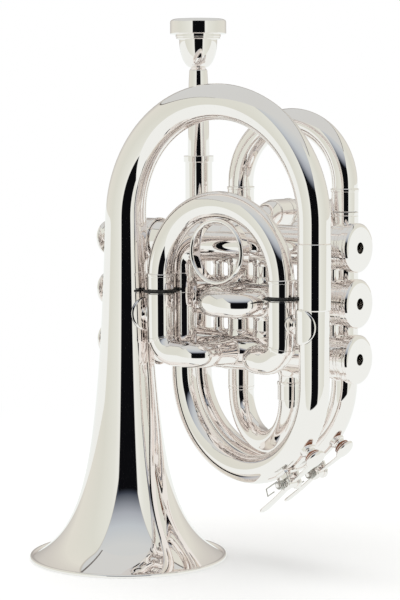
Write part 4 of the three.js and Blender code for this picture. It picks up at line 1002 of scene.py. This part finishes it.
def mouthpiece():
    top, rim = MOUTHPIECE_LENGTH, MOUTHPIECE_RIM_RADIUS
    bowl_top = top - MOUTHPIECE_RIM_HEIGHT - CREST_HEIGHT
    shank_top = top - MOUTHPIECE_HEAD_LENGTH
    bowl_length = bowl_top - shank_top - WAIST_RISE
    shank = [(0, SHANK_BORE_RADIUS), (0, SHANK_END_RADIUS), (MOUTHPIECE_INSERTION, SHANK_MOUTH_RADIUS)]
    shank += [(shank_top - 6, 4.75), (shank_top, 4.4)]
    bowl = []
    cup = []
    for step in range(CUP_STEPS + 1):
        angle = math.pi / 2 * step / CUP_STEPS
        wall = WAIST_RADIUS + (BOWL_RADIUS - WAIST_RADIUS) * math.sin(angle)
        bowl.append((bowl_top - bowl_length * math.cos(angle), wall))
        depth = CUP_EDGE_DEPTH + CUP_DEPTH * math.sin(angle)
        cup.append((top - depth, BORE_RADIUS + CUP_SPREAD * math.cos(angle)))
    crest = rim - CREST_INSET
    step_end = bowl_top + CREST_STEP_HEIGHT
    steps = [(bowl_top + SNUG, crest - 0.3), (step_end, crest - 0.3), (step_end, crest)]
    steps += [(bowl_top + CREST_HEIGHT, crest), (bowl_top + CREST_HEIGHT, rim)]
    half_width = (rim - RIM_INNER_RADIUS) / 2
    rim_curve = []
    for step in range(RIM_STEPS + 1):
        angle = math.pi * step / RIM_STEPS
        wall = RIM_INNER_RADIUS + half_width * (1 + math.cos(angle))
        rim_curve.append((top - RIM_ROUND + RIM_ROUND * math.sin(angle), wall))
    outline = [*shank, *bowl, *steps, *rim_curve, *cup, (top - BORE_DEPTH, BORE_RADIUS)]
    at = Vector((leadpipe_x, back_plane_y, receiver_top_z - MOUTHPIECE_INSERTION))
    looks = {"edge": 0.25, "sides": FINE_SIDES, "body": "mouthpiece"}
    turned("mouthpiece_body", at, UP, outline, ["mouthpiece"], **looks)


# Slides


def slide_tube(name, at, heading, span, leg_length, ferrule_from, ferrule_length):
    """Two legs, a ferrule on each, and the bow that joins them."""
    route = Route(at, heading).straight(leg_length).bend(span / 2, math.pi, X_AXIS).straight(leg_length)
    ferrule = beaded(ferrule_from, ferrule_from + ferrule_length, SLEEVE_RADIUS, SLIDE_BOW_RADIUS)
    half = [*stepped((ferrule_from, SLIDE_LEG_RADIUS)), *ferrule]
    mirrored = [(route.length - along, radius) for along, radius in reversed(half)]
    tube(name, route, [*half, *mirrored], SLIDE_LEG_BORE, body=name)


def tuning_slide():
    left = ("left", tuning_left_x, small_bow_joint_z)
    right = ("right", tuning_right_x, back_bow_joint_z)
    for side, x, bottom_z in (left, right):
        length = tuning_sleeve_top_z - bottom_z
        route = Route(Vector((x, back_plane_y, tuning_sleeve_top_z)), DOWN).straight(length)
        grooves = [*groove(1.6, SLEEVE_RADIUS), *groove(length - 1.6, SLEEVE_RADIUS)]
        outer = [(0, SLEEVE_RADIUS), *grooves, (length, SLEEVE_RADIUS)]
        tube(f"tuning_sleeve_{side}", route, outer, SLEEVE_BORE)
    at = Vector((tuning_left_x, back_plane_y, TUNING_LEG_END_Z))
    leg = TUNING_BOW_CENTRE_Z - TUNING_LEG_END_Z
    ferrule = tuning_sleeve_top_z + JOINT_GAP - TUNING_LEG_END_Z
    slide_tube("tuning_slide", at, UP, tuning_right_x - tuning_left_x, leg, ferrule, TUNING_FERRULE_LENGTH)


def third_valve_port():
    valve_z = valve_zs[2]
    length = valve_z - CASING_RADIUS - small_bow_joint_z
    route = Route(Vector((small_bow_port_x, valve_axis_y, small_bow_joint_z)), UP).straight(length)
    outer = [*beaded(0, FERRULE_LENGTH, FERRULE_RADIUS, LEADPIPE_RADIUS), *flared(length, LEADPIPE_RADIUS)]
    tube("third_valve_port", route, outer, socket_bores(length, FERRULE_SOCKET), valve_z=valve_z)


def first_slide():
    """The first slide leaves its casing upwards and backwards, then turns level."""
    valve_z = valve_zs[0]
    sleeve = FIRST_SLEEVE_LENGTH
    lean = Vector((0, math.cos(FIRST_PORT_LEAN), math.sin(FIRST_PORT_LEAN)))
    level_off = Vector((0, -math.sin(FIRST_PORT_LEAN), math.cos(FIRST_PORT_LEAN)))
    end = Vector()
    for number, x in enumerate(first_slide_xs, 1):
        stub_end = Vector((x, valve_axis_y, valve_z)) + lean * (CASING_RADIUS + FIRST_STUB_LENGTH)
        end = Route(stub_end, lean).bend(FIRST_ELBOW_RADIUS, FIRST_PORT_LEAN, -level_off).tip[0]
        # The tube is laid from its sleeve back to the casing, so that its last ring can lie on the casing.
        route = Route(end + Y_AXIS * sleeve, FORWARD).straight(sleeve)
        route.bend(FIRST_ELBOW_RADIUS, FIRST_PORT_LEAN, DOWN).straight(FIRST_STUB_LENGTH)
        outer = [*stepped((sleeve, SLEEVE_RADIUS)), (sleeve, LEADPIPE_RADIUS)]
        outer += flared(route.length, LEADPIPE_RADIUS)
        bore = stepped((sleeve, SLEEVE_BORE), (route.length, SLIDE_LEG_BORE))
        tube(f"first_sleeve_{number}", route, outer, bore, valve_z=valve_z)
    at = Vector((first_slide_xs[0], end.y + FIRST_LEG_INSET, end.z))
    leg = sleeve + FIRST_BOW_REACH - FIRST_LEG_INSET
    ferrule = sleeve + JOINT_GAP - FIRST_LEG_INSET
    span = first_slide_xs[1] - first_slide_xs[0]
    slide_tube("first_slide", at, Y_AXIS, span, leg, ferrule, FIRST_FERRULE_LENGTH)


def second_slide():
    valve_z = valve_zs[1]
    length = SECOND_SLEEVE_LENGTH
    casing_y = valve_axis_y - CASING_RADIUS
    outer = [(0, SLEEVE_RADIUS), *groove(1.4, SLEEVE_RADIUS), *flared(length, SLEEVE_RADIUS)]
    for number, x in enumerate(second_slide_xs, 1):
        route = Route(Vector((x, casing_y - length, valve_z)), Y_AXIS).straight(length)
        tube(f"second_sleeve_{number}", route, outer, SLEEVE_BORE, valve_z=valve_z)
    at = Vector((second_slide_xs[0], casing_y - SECOND_LEG_INSET, valve_z))
    leg = length + SECOND_BOW_REACH - SECOND_LEG_INSET
    ferrule = length + JOINT_GAP - SECOND_LEG_INSET
    span = second_slide_xs[1] - second_slide_xs[0]
    slide_tube("second_slide", at, FORWARD, span, leg, ferrule, SECOND_FERRULE_LENGTH)


def third_sleeve(name, x, port_x, inwards):
    valve_z = valve_zs[2]
    elbow = THIRD_ELBOW_RADIUS
    route = Route(Vector((x, 0, THIRD_SLEEVE_TOP_Z)), DOWN).straight(THIRD_SLEEVE_TOP_Z - valve_z - elbow)
    route.bend(elbow, math.pi / 2, inwards).straight(abs(port_x - x) - 2 * elbow)
    route.bend(elbow, math.pi / 2, Y_AXIS).straight(valve_axis_y - CASING_RADIUS - elbow)
    ferrule = THIRD_SLEEVE_TOP_Z - THIRD_FERRULE_Z
    outer = [*beaded(0, ferrule, SLEEVE_RADIUS, SLIDE_BOW_RADIUS), *flared(route.length, SLIDE_BOW_RADIUS)]
    bore = stepped((ferrule, SLEEVE_BORE), (route.length, SLIDE_LEG_BORE))
    tube(name, route, outer, bore, valve_z=valve_z)


def stop_ring(name, x):
    """A rubber ring with a round section, which softens the slide's stop."""
    inner = SLIDE_LEG_RADIUS + SNUG
    middle = (inner + STOP_RING_RADIUS) / 2
    half_width = (STOP_RING_RADIUS - inner) / 2
    outline = []
    for step in range(STOP_RING_STEPS):
        angle = 2 * math.pi * step / STOP_RING_STEPS
        height = STOP_RING_THICKNESS / 2 + STOP_RING_BAND / 2 * math.sin(angle)
        outline.append((height, middle + half_width * math.cos(angle)))
    at = Vector((x, 0, THIRD_SLEEVE_TOP_Z + JOINT_GAP))
    turned(f"{name}_band", at, UP, outline, [name], slot="rubber", body="third_slide")


def third_slide():
    third_sleeve("third_sleeve_left", third_left_x, THIRD_PORT_XS[0], X_AXIS)
    third_sleeve("third_sleeve_right", third_right_x, THIRD_PORT_XS[1], -X_AXIS)
    at = Vector((third_left_x, 0, THIRD_LEG_END_Z))
    leg = THIRD_BOW_CENTRE_Z - THIRD_LEG_END_Z
    ferrule = THIRD_SLEEVE_TOP_Z + STOP_RING_THICKNESS + 2 * JOINT_GAP - THIRD_LEG_END_Z
    slide_tube("third_slide", at, UP, third_right_x - third_left_x, leg, ferrule, THIRD_FERRULE_LENGTH)
    stop_ring("stop_ring_left", third_left_x)
    stop_ring("stop_ring_right", third_right_x)
    finger_ring()


def finger_ring():
    outer = FINGER_RING_RADIUS
    inner = outer - FINGER_RING_WALL
    end = FINGER_RING_LENGTH / 2
    outside = [(-end, outer - 0.9), (0.9 - end, outer), (end - 0.9, outer), (end, outer - 0.9)]
    inside = [(end, inner + 0.7), (end - 0.7, inner), (0.7 - end, inner)]
    looks = {"edge": 0.5, "sides": FINE_SIDES, "body": "third_slide"}
    outline = [(-end, inner + 0.7), *outside, *inside]
    turned("finger_ring_band", finger_ring_centre, FORWARD, outline, ["finger_ring"], **looks)


# Braces


def saddle(name, x, inwards, wall_radius, size, lean=0):
    """A thin round plate bent round a tube; wall_radius gives the tube's radius at a height, and the
    lean turns the plate round the tube towards the player's left."""
    inner = [(ring, SADDLE_LIFT) for ring in range(SADDLE_RINGS + 1)]
    outer = [(ring, SADDLE_THICKNESS) for ring in range(SADDLE_RINGS)]
    layers = [*inner, (SADDLE_RINGS, SADDLE_THICKNESS * SADDLE_EDGE_SHARE), *reversed(outer)]
    points = []
    for ring, lift in layers:
        reach = size * ring / SADDLE_RINGS
        for step in range(TUBE_SIDES):
            turn = 2 * math.pi * step / TUBE_SIDES
            z = BRACE_Z + reach * math.sin(turn)
            radius = wall_radius(z)
            angle = reach * math.cos(turn) / radius - lean
            depth = radius + lift
            points.append(Vector((x + inwards * depth * math.cos(angle), depth * math.sin(angle), z)))
    piece(name, points, ring_faces(len(layers), TUBE_SIDES))


def brace(name, left, right, right_lean=0):
    """A post between two saddles. Each side is a tube's x, its radius at a height and the plate's size."""
    (left_x, left_wall, left_size), (right_x, right_wall, right_size) = left, right
    saddle(f"{name}_left_saddle", left_x, 1, left_wall, left_size)
    saddle(f"{name}_right_saddle", right_x, -1, right_wall, right_size, right_lean)
    start = left_x + left_wall(BRACE_Z) + POST_GAP
    end = right_x - right_wall(BRACE_Z) - POST_GAP
    left_foot = [(start + along, BRACE_POST_RADIUS + rise) for along, rise in POST_FOOT]
    right_foot = [(end - along, BRACE_POST_RADIUS + rise) for along, rise in reversed(POST_FOOT)]
    outline = [(start, 0), *left_foot, *right_foot, (end, 0)]
    turned(f"{name}_post", Vector((0, 0, BRACE_Z)), X_AXIS, outline, [name])


def sleeve_radius(z):
    return SLEEVE_RADIUS


def leg_radius(z):
    return LEG_RADIUS


def braces():
    left_sleeve = (third_left_x, sleeve_radius, SMALL_SADDLE_RADIUS)
    right_sleeve = (third_right_x, sleeve_radius, SMALL_SADDLE_RADIUS)
    brace("brace_left", (0, bell_radius, SADDLE_RADIUS), left_sleeve)
    brace("brace_right", right_sleeve, (bell_bow_span, leg_radius, SADDLE_RADIUS), LEG_SADDLE_LEAN)


# Water keys


class KeyPlace:
    """A water key's place on a bow that runs down from its right leg, and the key's own directions:
    x along the tube, y along the pin and z away from the tube."""

    def __init__(self, legs, centre_z, radii):
        across = legs[1] - legs[0]
        inwards = across.normalized()
        self.bend_radius = across.length / 2
        self.radii = radii
        self.centre = (legs[0] + legs[1]) / 2 + UP * centre_z
        self.x_way = inwards * math.sin(KEY_HINGE_ANGLE) + DOWN * math.cos(KEY_HINGE_ANGLE)
        self.z_way = -inwards * math.cos(KEY_HINGE_ANGLE) + DOWN * math.sin(KEY_HINGE_ANGLE)
        self.y_way = self.z_way.cross(self.x_way)
        self.reach = self.surface(KEY_HINGE_ANGLE) + KEY_HINGE_HEIGHT
        self.hinge = self.centre + self.z_way * self.reach
        lean = KEY_HINGE_ANGLE - KEY_NIPPLE_ANGLE
        self.nipple_way = -self.x_way * math.sin(lean) + self.z_way * math.cos(lean)

    def surface(self, angle):
        """The distance of the tube's outside from the bend's centre."""
        return self.bend_radius + self.radii[0] + (self.radii[1] - self.radii[0]) * angle / math.pi

    def at(self, x, y, z):
        return self.hinge + self.x_way * x + self.y_way * y + self.z_way * z


def loft(name, sections, nodes, body="instrument", power=LEVER_SECTION_POWER):
    """A closed form through sections of (centre, side, up, half width, half thickness)."""
    points = []
    for centre, side, upwards, half_width, half_thickness in sections:
        for step in range(LOFT_SIDES):
            turn = 2 * math.pi * step / LOFT_SIDES
            across = math.copysign(abs(math.cos(turn)) ** (2 / power), math.cos(turn))
            along = math.copysign(abs(math.sin(turn)) ** (2 / power), math.sin(turn))
            points.append(centre + side * (half_width * across) + upwards * (half_thickness * along))
    piece(name, points, ring_faces(len(sections), LOFT_SIDES, capped=True), nodes, body=body)


def rounded_end(distance, length):
    """The share of its width that a lever keeps at a distance from its round end."""
    return math.sqrt(max(1 - (1 - distance / length) ** 2, 0.0004)) if distance < length else 1


def drain(suffix, body, key):
    """The nipple, and the cork on it in its band and cup; returns the height of the cup's inside."""
    surface = key.surface(KEY_NIPPLE_ANGLE)
    top = surface + NIPPLE_HEIGHT
    foot = [(surface - 1.6, 1.1), (surface + 0.5, 0.9), (surface + 0.9, 0.35), (surface + 1.3, 0)]
    lip = [(top - 0.5, 0), (top, -0.5)]
    nipple = [(along, NIPPLE_RADIUS + rise) for along, rise in [*foot, *lip]]
    nipple = [(surface - 1.6, NIPPLE_BORE_RADIUS), *nipple, (top, NIPPLE_BORE_RADIUS)]
    turned(f"drain_nipple_{suffix}", key.centre, key.nipple_way, nipple, [f"water_nipple_{suffix}"])

    start = top + CORK_GAP
    end = start + CORK_HEIGHT
    pad = [(start, 0), (start, CORK_RADIUS - 0.3), (start + 0.3, CORK_RADIUS), (end, CORK_RADIUS), (end, 0)]
    looks = {"edge": 0.1, "slot": "cork", "body": body}
    turned(f"cork_pad_{suffix}", key.centre, key.nipple_way, pad, [f"water_cork_{suffix}"], **looks)

    low = start + CORK_BAND_RISE
    high = low + CORK_BAND_WIDTH
    inner, outer = CORK_RADIUS - 0.2, CORK_RADIUS + 0.15
    band = [(low, inner), (low, outer), (high, outer), (high, inner)]
    turned(f"cork_band_{suffix}", key.centre, key.nipple_way, band, edge=0.08, body=body)

    foot = start + CUP_FOOT_RISE
    inner, outer = CORK_RADIUS + CUP_ROOM, CORK_RADIUS + CUP_REACH
    roof_height = end + SNUG
    dome = [(0.35, 0.25), (0.95, 0.95), (1.35, 2.1), (1.5, 3.4)]
    cup = [(roof_height, 0), (roof_height, inner), (foot, inner), (foot, outer), (foot + 0.6, outer)]
    cup += [(roof_height + rise, outer - inset) for rise, inset in dome]
    cup.append((roof_height + 1.55, 0))
    turned(f"cork_cup_{suffix}", key.centre, key.nipple_way, cup, edge=0.3, body=body)
    return roof_height


def key_lever(suffix, body, key, cup_height):
    """The lever, from the cork's cup over the hinge to the finger's plate."""
    from_hinge = key.centre + key.nipple_way * (cup_height + 0.9) - key.hinge
    cup_x, cup_z = from_hinge.dot(key.x_way), from_hinge.dot(key.z_way)
    sections = []
    for step in range(LEVER_STEPS + 1):
        x = cup_x + (LEVER_TIP_REACH - cup_x) * step / LEVER_STEPS
        if x < 0:
            share = x / cup_x
            rise = cup_z * share**LEVER_CURVE
            slope = cup_z * LEVER_CURVE * share ** (LEVER_CURVE - 1) / cup_x
            half_width = LEVER_WAIST + LEVER_CUP_SPREAD * share**2
        else:
            share = x / LEVER_TIP_REACH
            rise = 2 * share * (1 - share) * -LEVER_SAG + share**2 * LEVER_TIP_RISE
            slope = (2 * (1 - 2 * share) * -LEVER_SAG + 2 * share * LEVER_TIP_RISE) / LEVER_TIP_REACH
            half_width = LEVER_WAIST + LEVER_TIP_SPREAD * share**1.5
        from_tip = LEVER_TIP_REACH - x
        half_width *= rounded_end(from_tip, LEVER_TIP_ROUND) * rounded_end(x - cup_x, LEVER_START_ROUND)
        thickness = LEVER_THICKNESS / 2 * min(1, math.sqrt(max(from_tip, 0.01) / LEVER_TIP_TAPER))
        upwards = (key.z_way - key.x_way * slope) / math.hypot(1, slope)
        sections.append((key.at(x, 0, rise), key.y_way, upwards, half_width, thickness))
    loft(f"key_lever_{suffix}", sections, [f"water_key_{suffix}"], body)


def key_foot(suffix, key, half_length):
    """The saddle's foot, bent round the tube."""
    half = SADDLE_BASE_LENGTH / 2
    tube_reach = key.reach - KEY_HINGE_HEIGHT
    sections = []
    for step in range(FOOT_STEPS + 1):
        x = half * (2 * step / FOOT_STEPS - 1)
        edge = min(1, math.sqrt(max(half - abs(x), 0) / 1.6) + 0.05)
        drop = key.reach - math.sqrt(tube_reach**2 - x * x)
        centre = key.at(x, 0, -drop - FOOT_SINK)
        sections.append((centre, key.y_way, key.z_way, half_length * edge, FOOT_HALF_THICKNESS * edge))
    loft(f"key_foot_{suffix}", sections, [f"water_saddle_{suffix}"], power=FOOT_SECTION_POWER)


def key_ear(name, key, sign, inner, outer):
    """One of the two ears that hold the pin, rounded above and with sloping sides."""
    angles = [math.pi * step / EAR_STEPS for step in range(EAR_STEPS + 1)]
    outline = [(EAR_RADIUS * math.cos(angle), EAR_RADIUS * math.sin(angle)) for angle in angles]
    outline += [(side * (EAR_RADIUS + 0.6), 0.3 - KEY_HINGE_HEIGHT) for side in (-1, 1)]
    layers = [(inner, EAR_EDGE), (inner + EAR_EDGE, 0), (outer - EAR_EDGE, 0), (outer, EAR_EDGE)]
    points = []
    for y, inset in layers:
        shrink = 1 - inset / EAR_RADIUS
        points += [key.at(x * shrink, sign * y, z * shrink) for x, z in outline]
    piece(name, points, ring_faces(len(layers), len(outline), capped=True))


def water_key(suffix, legs, centre_z, radii):
    """One water key, with its nipple, saddle, pin and spring."""
    key = KeyPlace(legs, centre_z, radii)
    body = f"water_key_{suffix}"
    key_lever(suffix, body, key, drain(suffix, body, key))
    half = HUB_WIDTH / 2
    bore = PIN_RADIUS + 0.1
    hub = [(-half, bore), *stepped((half, HUB_RADIUS), start=-half), (half, bore)]
    turned(f"key_hub_{suffix}", key.hinge, key.y_way, hub, body=body)

    inner = half + JOINT_GAP
    outer = inner + EAR_THICKNESS
    key_foot(suffix, key, outer)
    for sign, side in ((-1, "left"), (1, "right")):
        key_ear(f"key_ear_{side}_{suffix}", key, sign, inner, outer)
    far_end = outer + PIN_HEAD_LENGTH
    near_end = -far_end - KEY_SPRING_TURNS * KEY_SPRING_PITCH - 2 * KEY_SPRING_WIRE
    head = [(outer, PIN_RADIUS + 0.7), (far_end, PIN_RADIUS + 0.45), (far_end, 0)]
    pin = [(near_end, 0), *stepped((outer, PIN_RADIUS), start=near_end), *head]
    turned(f"key_pin_{suffix}", key.hinge, key.y_way, pin, edge=0.15)

    start = -outer - JOINT_GAP - KEY_SPRING_WIRE
    end = start - KEY_SPRING_TURNS * KEY_SPRING_PITCH
    low = -KEY_SPRING_RADIUS
    high = KEY_LOOP_WIDTH - KEY_SPRING_RADIUS
    leg = KEY_SPRING_LEG
    path = [key.at(-leg, start, low)]
    path += coil(key.hinge, key.y_way, -key.z_way, KEY_SPRING_RADIUS, start, end, KEY_SPRING_TURNS)
    loop = [(leg / 2, low), (leg, low), (leg + KEY_LOOP_WIDTH / 4, high), (leg / 2, high)]
    path += [key.at(x, end, z) for x, z in loop]
    wire(f"key_spring_{suffix}", path, KEY_SPRING_WIRE, [f"water_key_spring_{suffix}"])


bell_and_bow()
bell_leg()
bottom_bows()
bell_riser()
valves()
leadpipe()
mouthpiece_receiver()
mouthpiece()
tuning_slide()
third_valve_port()
first_slide()
second_slide()
third_slide()
braces()
water_key("front", front_legs, FRONT_BOW_CENTRE_Z, front_radii)
water_key("back", back_legs[::-1], BACK_BOW_CENTRE_Z, back_radii[::-1])

# Camera, at the photograph's place: distances in metres, angles in degrees
CAMERA_PLACE = Vector((0.6044, -0.7144, 0.21))
CAMERA_AZIMUTH = 38.08
CAMERA_PITCH = 5.242
CAMERA_ROLL = -0.241
FOCAL_PIXELS = 1964.9
IMAGE_HEIGHT = 600
SENSOR = 36


def camera():
    data = bpy.data.cameras.new("camera")
    data.sensor_width = SENSOR
    data.lens = FOCAL_PIXELS / IMAGE_HEIGHT * SENSOR
    data.clip_start = 0.02
    data.clip_end = 200
    made = bpy.data.objects.new("camera", data)
    bpy.context.collection.objects.link(made)
    made.location = CAMERA_PLACE
    aim = Euler((math.radians(90 - CAMERA_PITCH), 0, math.radians(CAMERA_AZIMUTH))).to_matrix()
    made.rotation_euler = (aim @ Matrix.Rotation(math.radians(CAMERA_ROLL), 3, "Z")).to_euler()
    bpy.context.scene.camera = made


# Floor, studio and light

# The tent's opening faces this azimuth; the angles below are degrees round the instrument from there
STUDIO_AZIMUTH = math.radians(38)
TENT_SIDEWAYS = Vector((math.cos(STUDIO_AZIMUTH), math.sin(STUDIO_AZIMUTH), 0))
TENT_OUTWARDS = Vector((math.sin(STUDIO_AZIMUTH), -math.cos(STUDIO_AZIMUTH), 0))
OPENING_LEFT = -24
OPENING_RIGHT = 29
OPENING_EDGE = 2.5
OPENING_TOP = 20.5
OPENING_COLOUR = (0.0037, 0.004, 0.005, 1)
ROOF_LEAN = 1.7
ROOF_LEAN_BEHIND = 0.8
WHITE = (1, 1, 1, 1)
PLAIN_LIGHT = 0.7
SEAM_WIDTH = 0.02
SEAM_STRENGTH = 0.6
SEAM_COLOUR = (0.45, 0.42, 0.36, 1)
# Colours of the roof by the sine of their height, and of the walls by degrees from the opening's middle
ROOF_COLOURS = [
    (0.34, (0.047, 0.058, 0.08)),
    (0.42, (0.24, 0.27, 0.31)),
    (0.5, (0.4, 0.44, 0.49)),
    (0.64, (0.54, 0.6, 0.64)),
    (0.87, (0.64, 0.68, 0.68)),
]
WALL_COLOURS = [
    (26, (0.87, 0.91, 0.87)),
    (40, (0.79, 0.83, 0.77)),
    (80, (0.73, 0.76, 0.69)),
    (130, (0.77, 0.78, 0.71)),
    (158, (0.62, 0.61, 0.57)),
    (180, (0.38, 0.36, 0.34)),
]


def tent_colour(tree):
    """The white tent as polished metal sees it: pale walls, a greyer roof and one dark opening."""

    def calc(operation, *sources):
        return reckon(tree, operation, *sources)

    def before(value, low, high):
        return calc("SUBTRACT", 1, share_between(tree, value, low, high))

    way = add_node(tree, "TexCoord").outputs["Generated"]
    turned_round = add_node(tree, "Mapping", Vector=way, Rotation=(0, 0, -STUDIO_AZIMUTH)).outputs["Vector"]
    split = add_node(tree, "SeparateXYZ", turned_round)
    sideways, inwards, upwards = (split.outputs[axis] for axis in "XYZ")
    round_angle = calc("DEGREES", calc("ARCTAN2", sideways, calc("MULTIPLY", inwards, -1)))
    height = calc("DEGREES", calc("ARCSINE", upwards))

    middle = (OPENING_LEFT + OPENING_RIGHT) / 2
    half_width = (OPENING_RIGHT - OPENING_LEFT) / 2
    aside = calc("ABSOLUTE", calc("SUBTRACT", round_angle, middle))
    walls = colour_stops(tree, calc("DIVIDE", aside, 180), WALL_COLOURS, 1 / 180)
    overhead = colour_stops(tree, upwards, ROOF_COLOURS)

    behind = calc("MAXIMUM", inwards, 0)
    across = calc("MULTIPLY", sideways, sideways)
    lean = calc("MULTIPLY_ADD", calc("MULTIPLY", behind, behind), ROOF_LEAN_BEHIND, across)
    level = calc("SQRT", calc("SUBTRACT", 1, calc("MULTIPLY", upwards, upwards)))
    over = calc("SUBTRACT", calc("MULTIPLY", upwards, level), calc("MULTIPLY", lean, ROOF_LEAN))
    tent = mixed_colour(tree, share_between(tree, over, -0.01, 0.01), walls, overhead)
    seam = before(calc("ABSOLUTE", over), 0, SEAM_WIDTH)
    tent = mixed_colour(tree, calc("MULTIPLY", seam, SEAM_STRENGTH), tent, SEAM_COLOUR)

    between_sides = before(aside, half_width - OPENING_EDGE, half_width)
    under_top = before(height, OPENING_TOP - OPENING_EDGE, OPENING_TOP)
    return mixed_colour(tree, calc("MULTIPLY", between_sides, under_top), tent, OPENING_COLOUR)


def environment():
    """The tent in reflections, plain white light on everything else and a white background."""
    world = bpy.data.worlds.new("studio")
    world.use_nodes = True
    tree = world.node_tree
    tree.nodes.clear()
    reflected = add_node(tree, "Background", tent_colour(tree)).outputs[0]
    plain = add_node(tree, "Background", Color=WHITE, Strength=PLAIN_LIGHT).outputs[0]
    seen = add_node(tree, "Background", Color=WHITE).outputs[0]
    add_node(tree, "OutputWorld", Surface=by_ray(tree, plain, reflected, seen))
    bpy.context.scene.world = world


def by_ray(tree, plain, reflected, seen):
    """One look for plain light, one for reflections and one for the camera."""
    ray = add_node(tree, "LightPath")
    lit = mixed_shader(tree, ray.outputs["Is Glossy Ray"], plain, reflected)
    return mixed_shader(tree, ray.outputs["Is Camera Ray"], lit, seen)


def sheet(name, corners):
    """A four-sided sheet outside the instrument, and the empty node tree of its material."""
    mesh = bpy.data.meshes.new(name)
    mesh.from_pydata(corners, [], [(0, 1, 2, 3)])
    made = bpy.data.objects.new(name, mesh)
    bpy.context.collection.objects.link(made)
    material = bpy.data.materials.new(name)
    material.use_nodes = True
    material.node_tree.nodes.clear()
    mesh.materials.append(material)
    return made, material.node_tree


def distance_along(tree, way):
    place = add_node(tree, "NewGeometry").outputs["Position"]
    return add_node(tree, "VectorMath", place, way, operation="DOT_PRODUCT").outputs["Value"]


FLOOR_REACH = 40
FLOOR_COLOUR = (0.86, 0.86, 0.85, 1)
FLOOR_REFLECTED_COLOUR = (0.9, 0.95, 0.93, 1)
FLOOR_FRONT_EDGE = 0.25
FLOOR_GLOW = 0.2
FADE_START = 0.12
FADE_END = 0.5


def floor():
    """A white floor that fades into the white background and keeps the shadow near the object.
    Polished metal sees it end at the tent's opening."""
    corners = [(-1, -1), (1, -1), (1, 1), (-1, 1)]
    made, tree = sheet("floor", [(x * FLOOR_REACH, y * FLOOR_REACH, 0) for x, y in corners])
    plain = add_node(tree, "BsdfDiffuse", Color=FLOOR_COLOUR).outputs["BSDF"]
    glow = add_node(tree, "Emission", Strength=FLOOR_GLOW).outputs["Emission"]
    lifted = add_node(tree, "AddShader", plain, glow).outputs["Shader"]
    white = add_node(tree, "Emission").outputs["Emission"]
    place = add_node(tree, "NewGeometry").outputs["Position"]
    distance = add_node(tree, "VectorMath", place, operation="LENGTH").outputs["Value"]
    seen = mixed_shader(tree, share_between(tree, distance, FADE_START, FADE_END), lifted, white)

    bright = add_node(tree, "Emission", Color=FLOOR_REFLECTED_COLOUR).outputs["Emission"]
    clear = add_node(tree, "BsdfTransparent").outputs["BSDF"]
    outwards = distance_along(tree, TENT_OUTWARDS)
    past = share_between(tree, outwards, FLOOR_FRONT_EDGE - 0.01, FLOOR_FRONT_EDGE)
    reflected = mixed_shader(tree, past, bright, clear)
    add_node(tree, "OutputMaterial", Surface=by_ray(tree, plain, reflected, seen))


# The roof's cloth over the instrument, in metres: its sides, its reach back and front, and its heights
ROOF_SIDES = (-0.165, 0.2)
ROOF_REACH = (-0.3, 0.1)
ROOF_HEIGHTS = (0.39, 0.3)
ROOF_HEM = 0.007
ROOF_CLOTH_COLOUR = (0.66, 0.69, 0.68, 1)
HEM_COLOUR = (0.16, 0.15, 0.14, 1)


def roof():
    """The near part of the tent's roof, for reflections only."""
    ends = [TENT_OUTWARDS * reach + UP * height for reach, height in zip(ROOF_REACH, ROOF_HEIGHTS)]
    left, right = (TENT_SIDEWAYS * side for side in ROOF_SIDES)
    made, tree = sheet("roof", [left + ends[0], right + ends[0], right + ends[1], left + ends[1]])
    middle = sum(ROOF_SIDES) / 2
    half_width = (ROOF_SIDES[1] - ROOF_SIDES[0]) / 2
    aside = reckon(tree, "SUBTRACT", distance_along(tree, TENT_SIDEWAYS), middle)
    off_middle = reckon(tree, "ABSOLUTE", aside)
    hem = share_between(tree, off_middle, half_width - 1.5 * ROOF_HEM, half_width - ROOF_HEM)
    glow = add_node(tree, "Emission", mixed_colour(tree, hem, ROOF_CLOTH_COLOUR, HEM_COLOUR))
    add_node(tree, "OutputMaterial", Surface=glow.outputs["Emission"])
    made.visible_camera = False
    made.visible_diffuse = False
    made.visible_shadow = False
    made.visible_transmission = False


# The lamp's places and size in metres, and its power in watts
LAMP_PLACE = Vector((-0.1, -0.15, 1.6))
LAMP_TARGET = Vector((0.03, 0.02, 0.1))
LAMP_SIZE = 2.2
LAMP_POWER = 14


def lamp():
    """A wide lamp overhead, for the shadow on the floor."""
    data = bpy.data.lights.new("overhead", "AREA")
    data.size = LAMP_SIZE
    data.energy = LAMP_POWER
    made = bpy.data.objects.new("overhead", data)
    bpy.context.collection.objects.link(made)
    made.location = LAMP_PLACE
    made.rotation_euler = (LAMP_TARGET - LAMP_PLACE).to_track_quat("-Z", "Y").to_euler()
    made.visible_camera = False
    made.visible_glossy = False


camera()
environment()
floor()
roof()
lamp()
bpy.context.scene.view_settings.view_transform = "Standard"
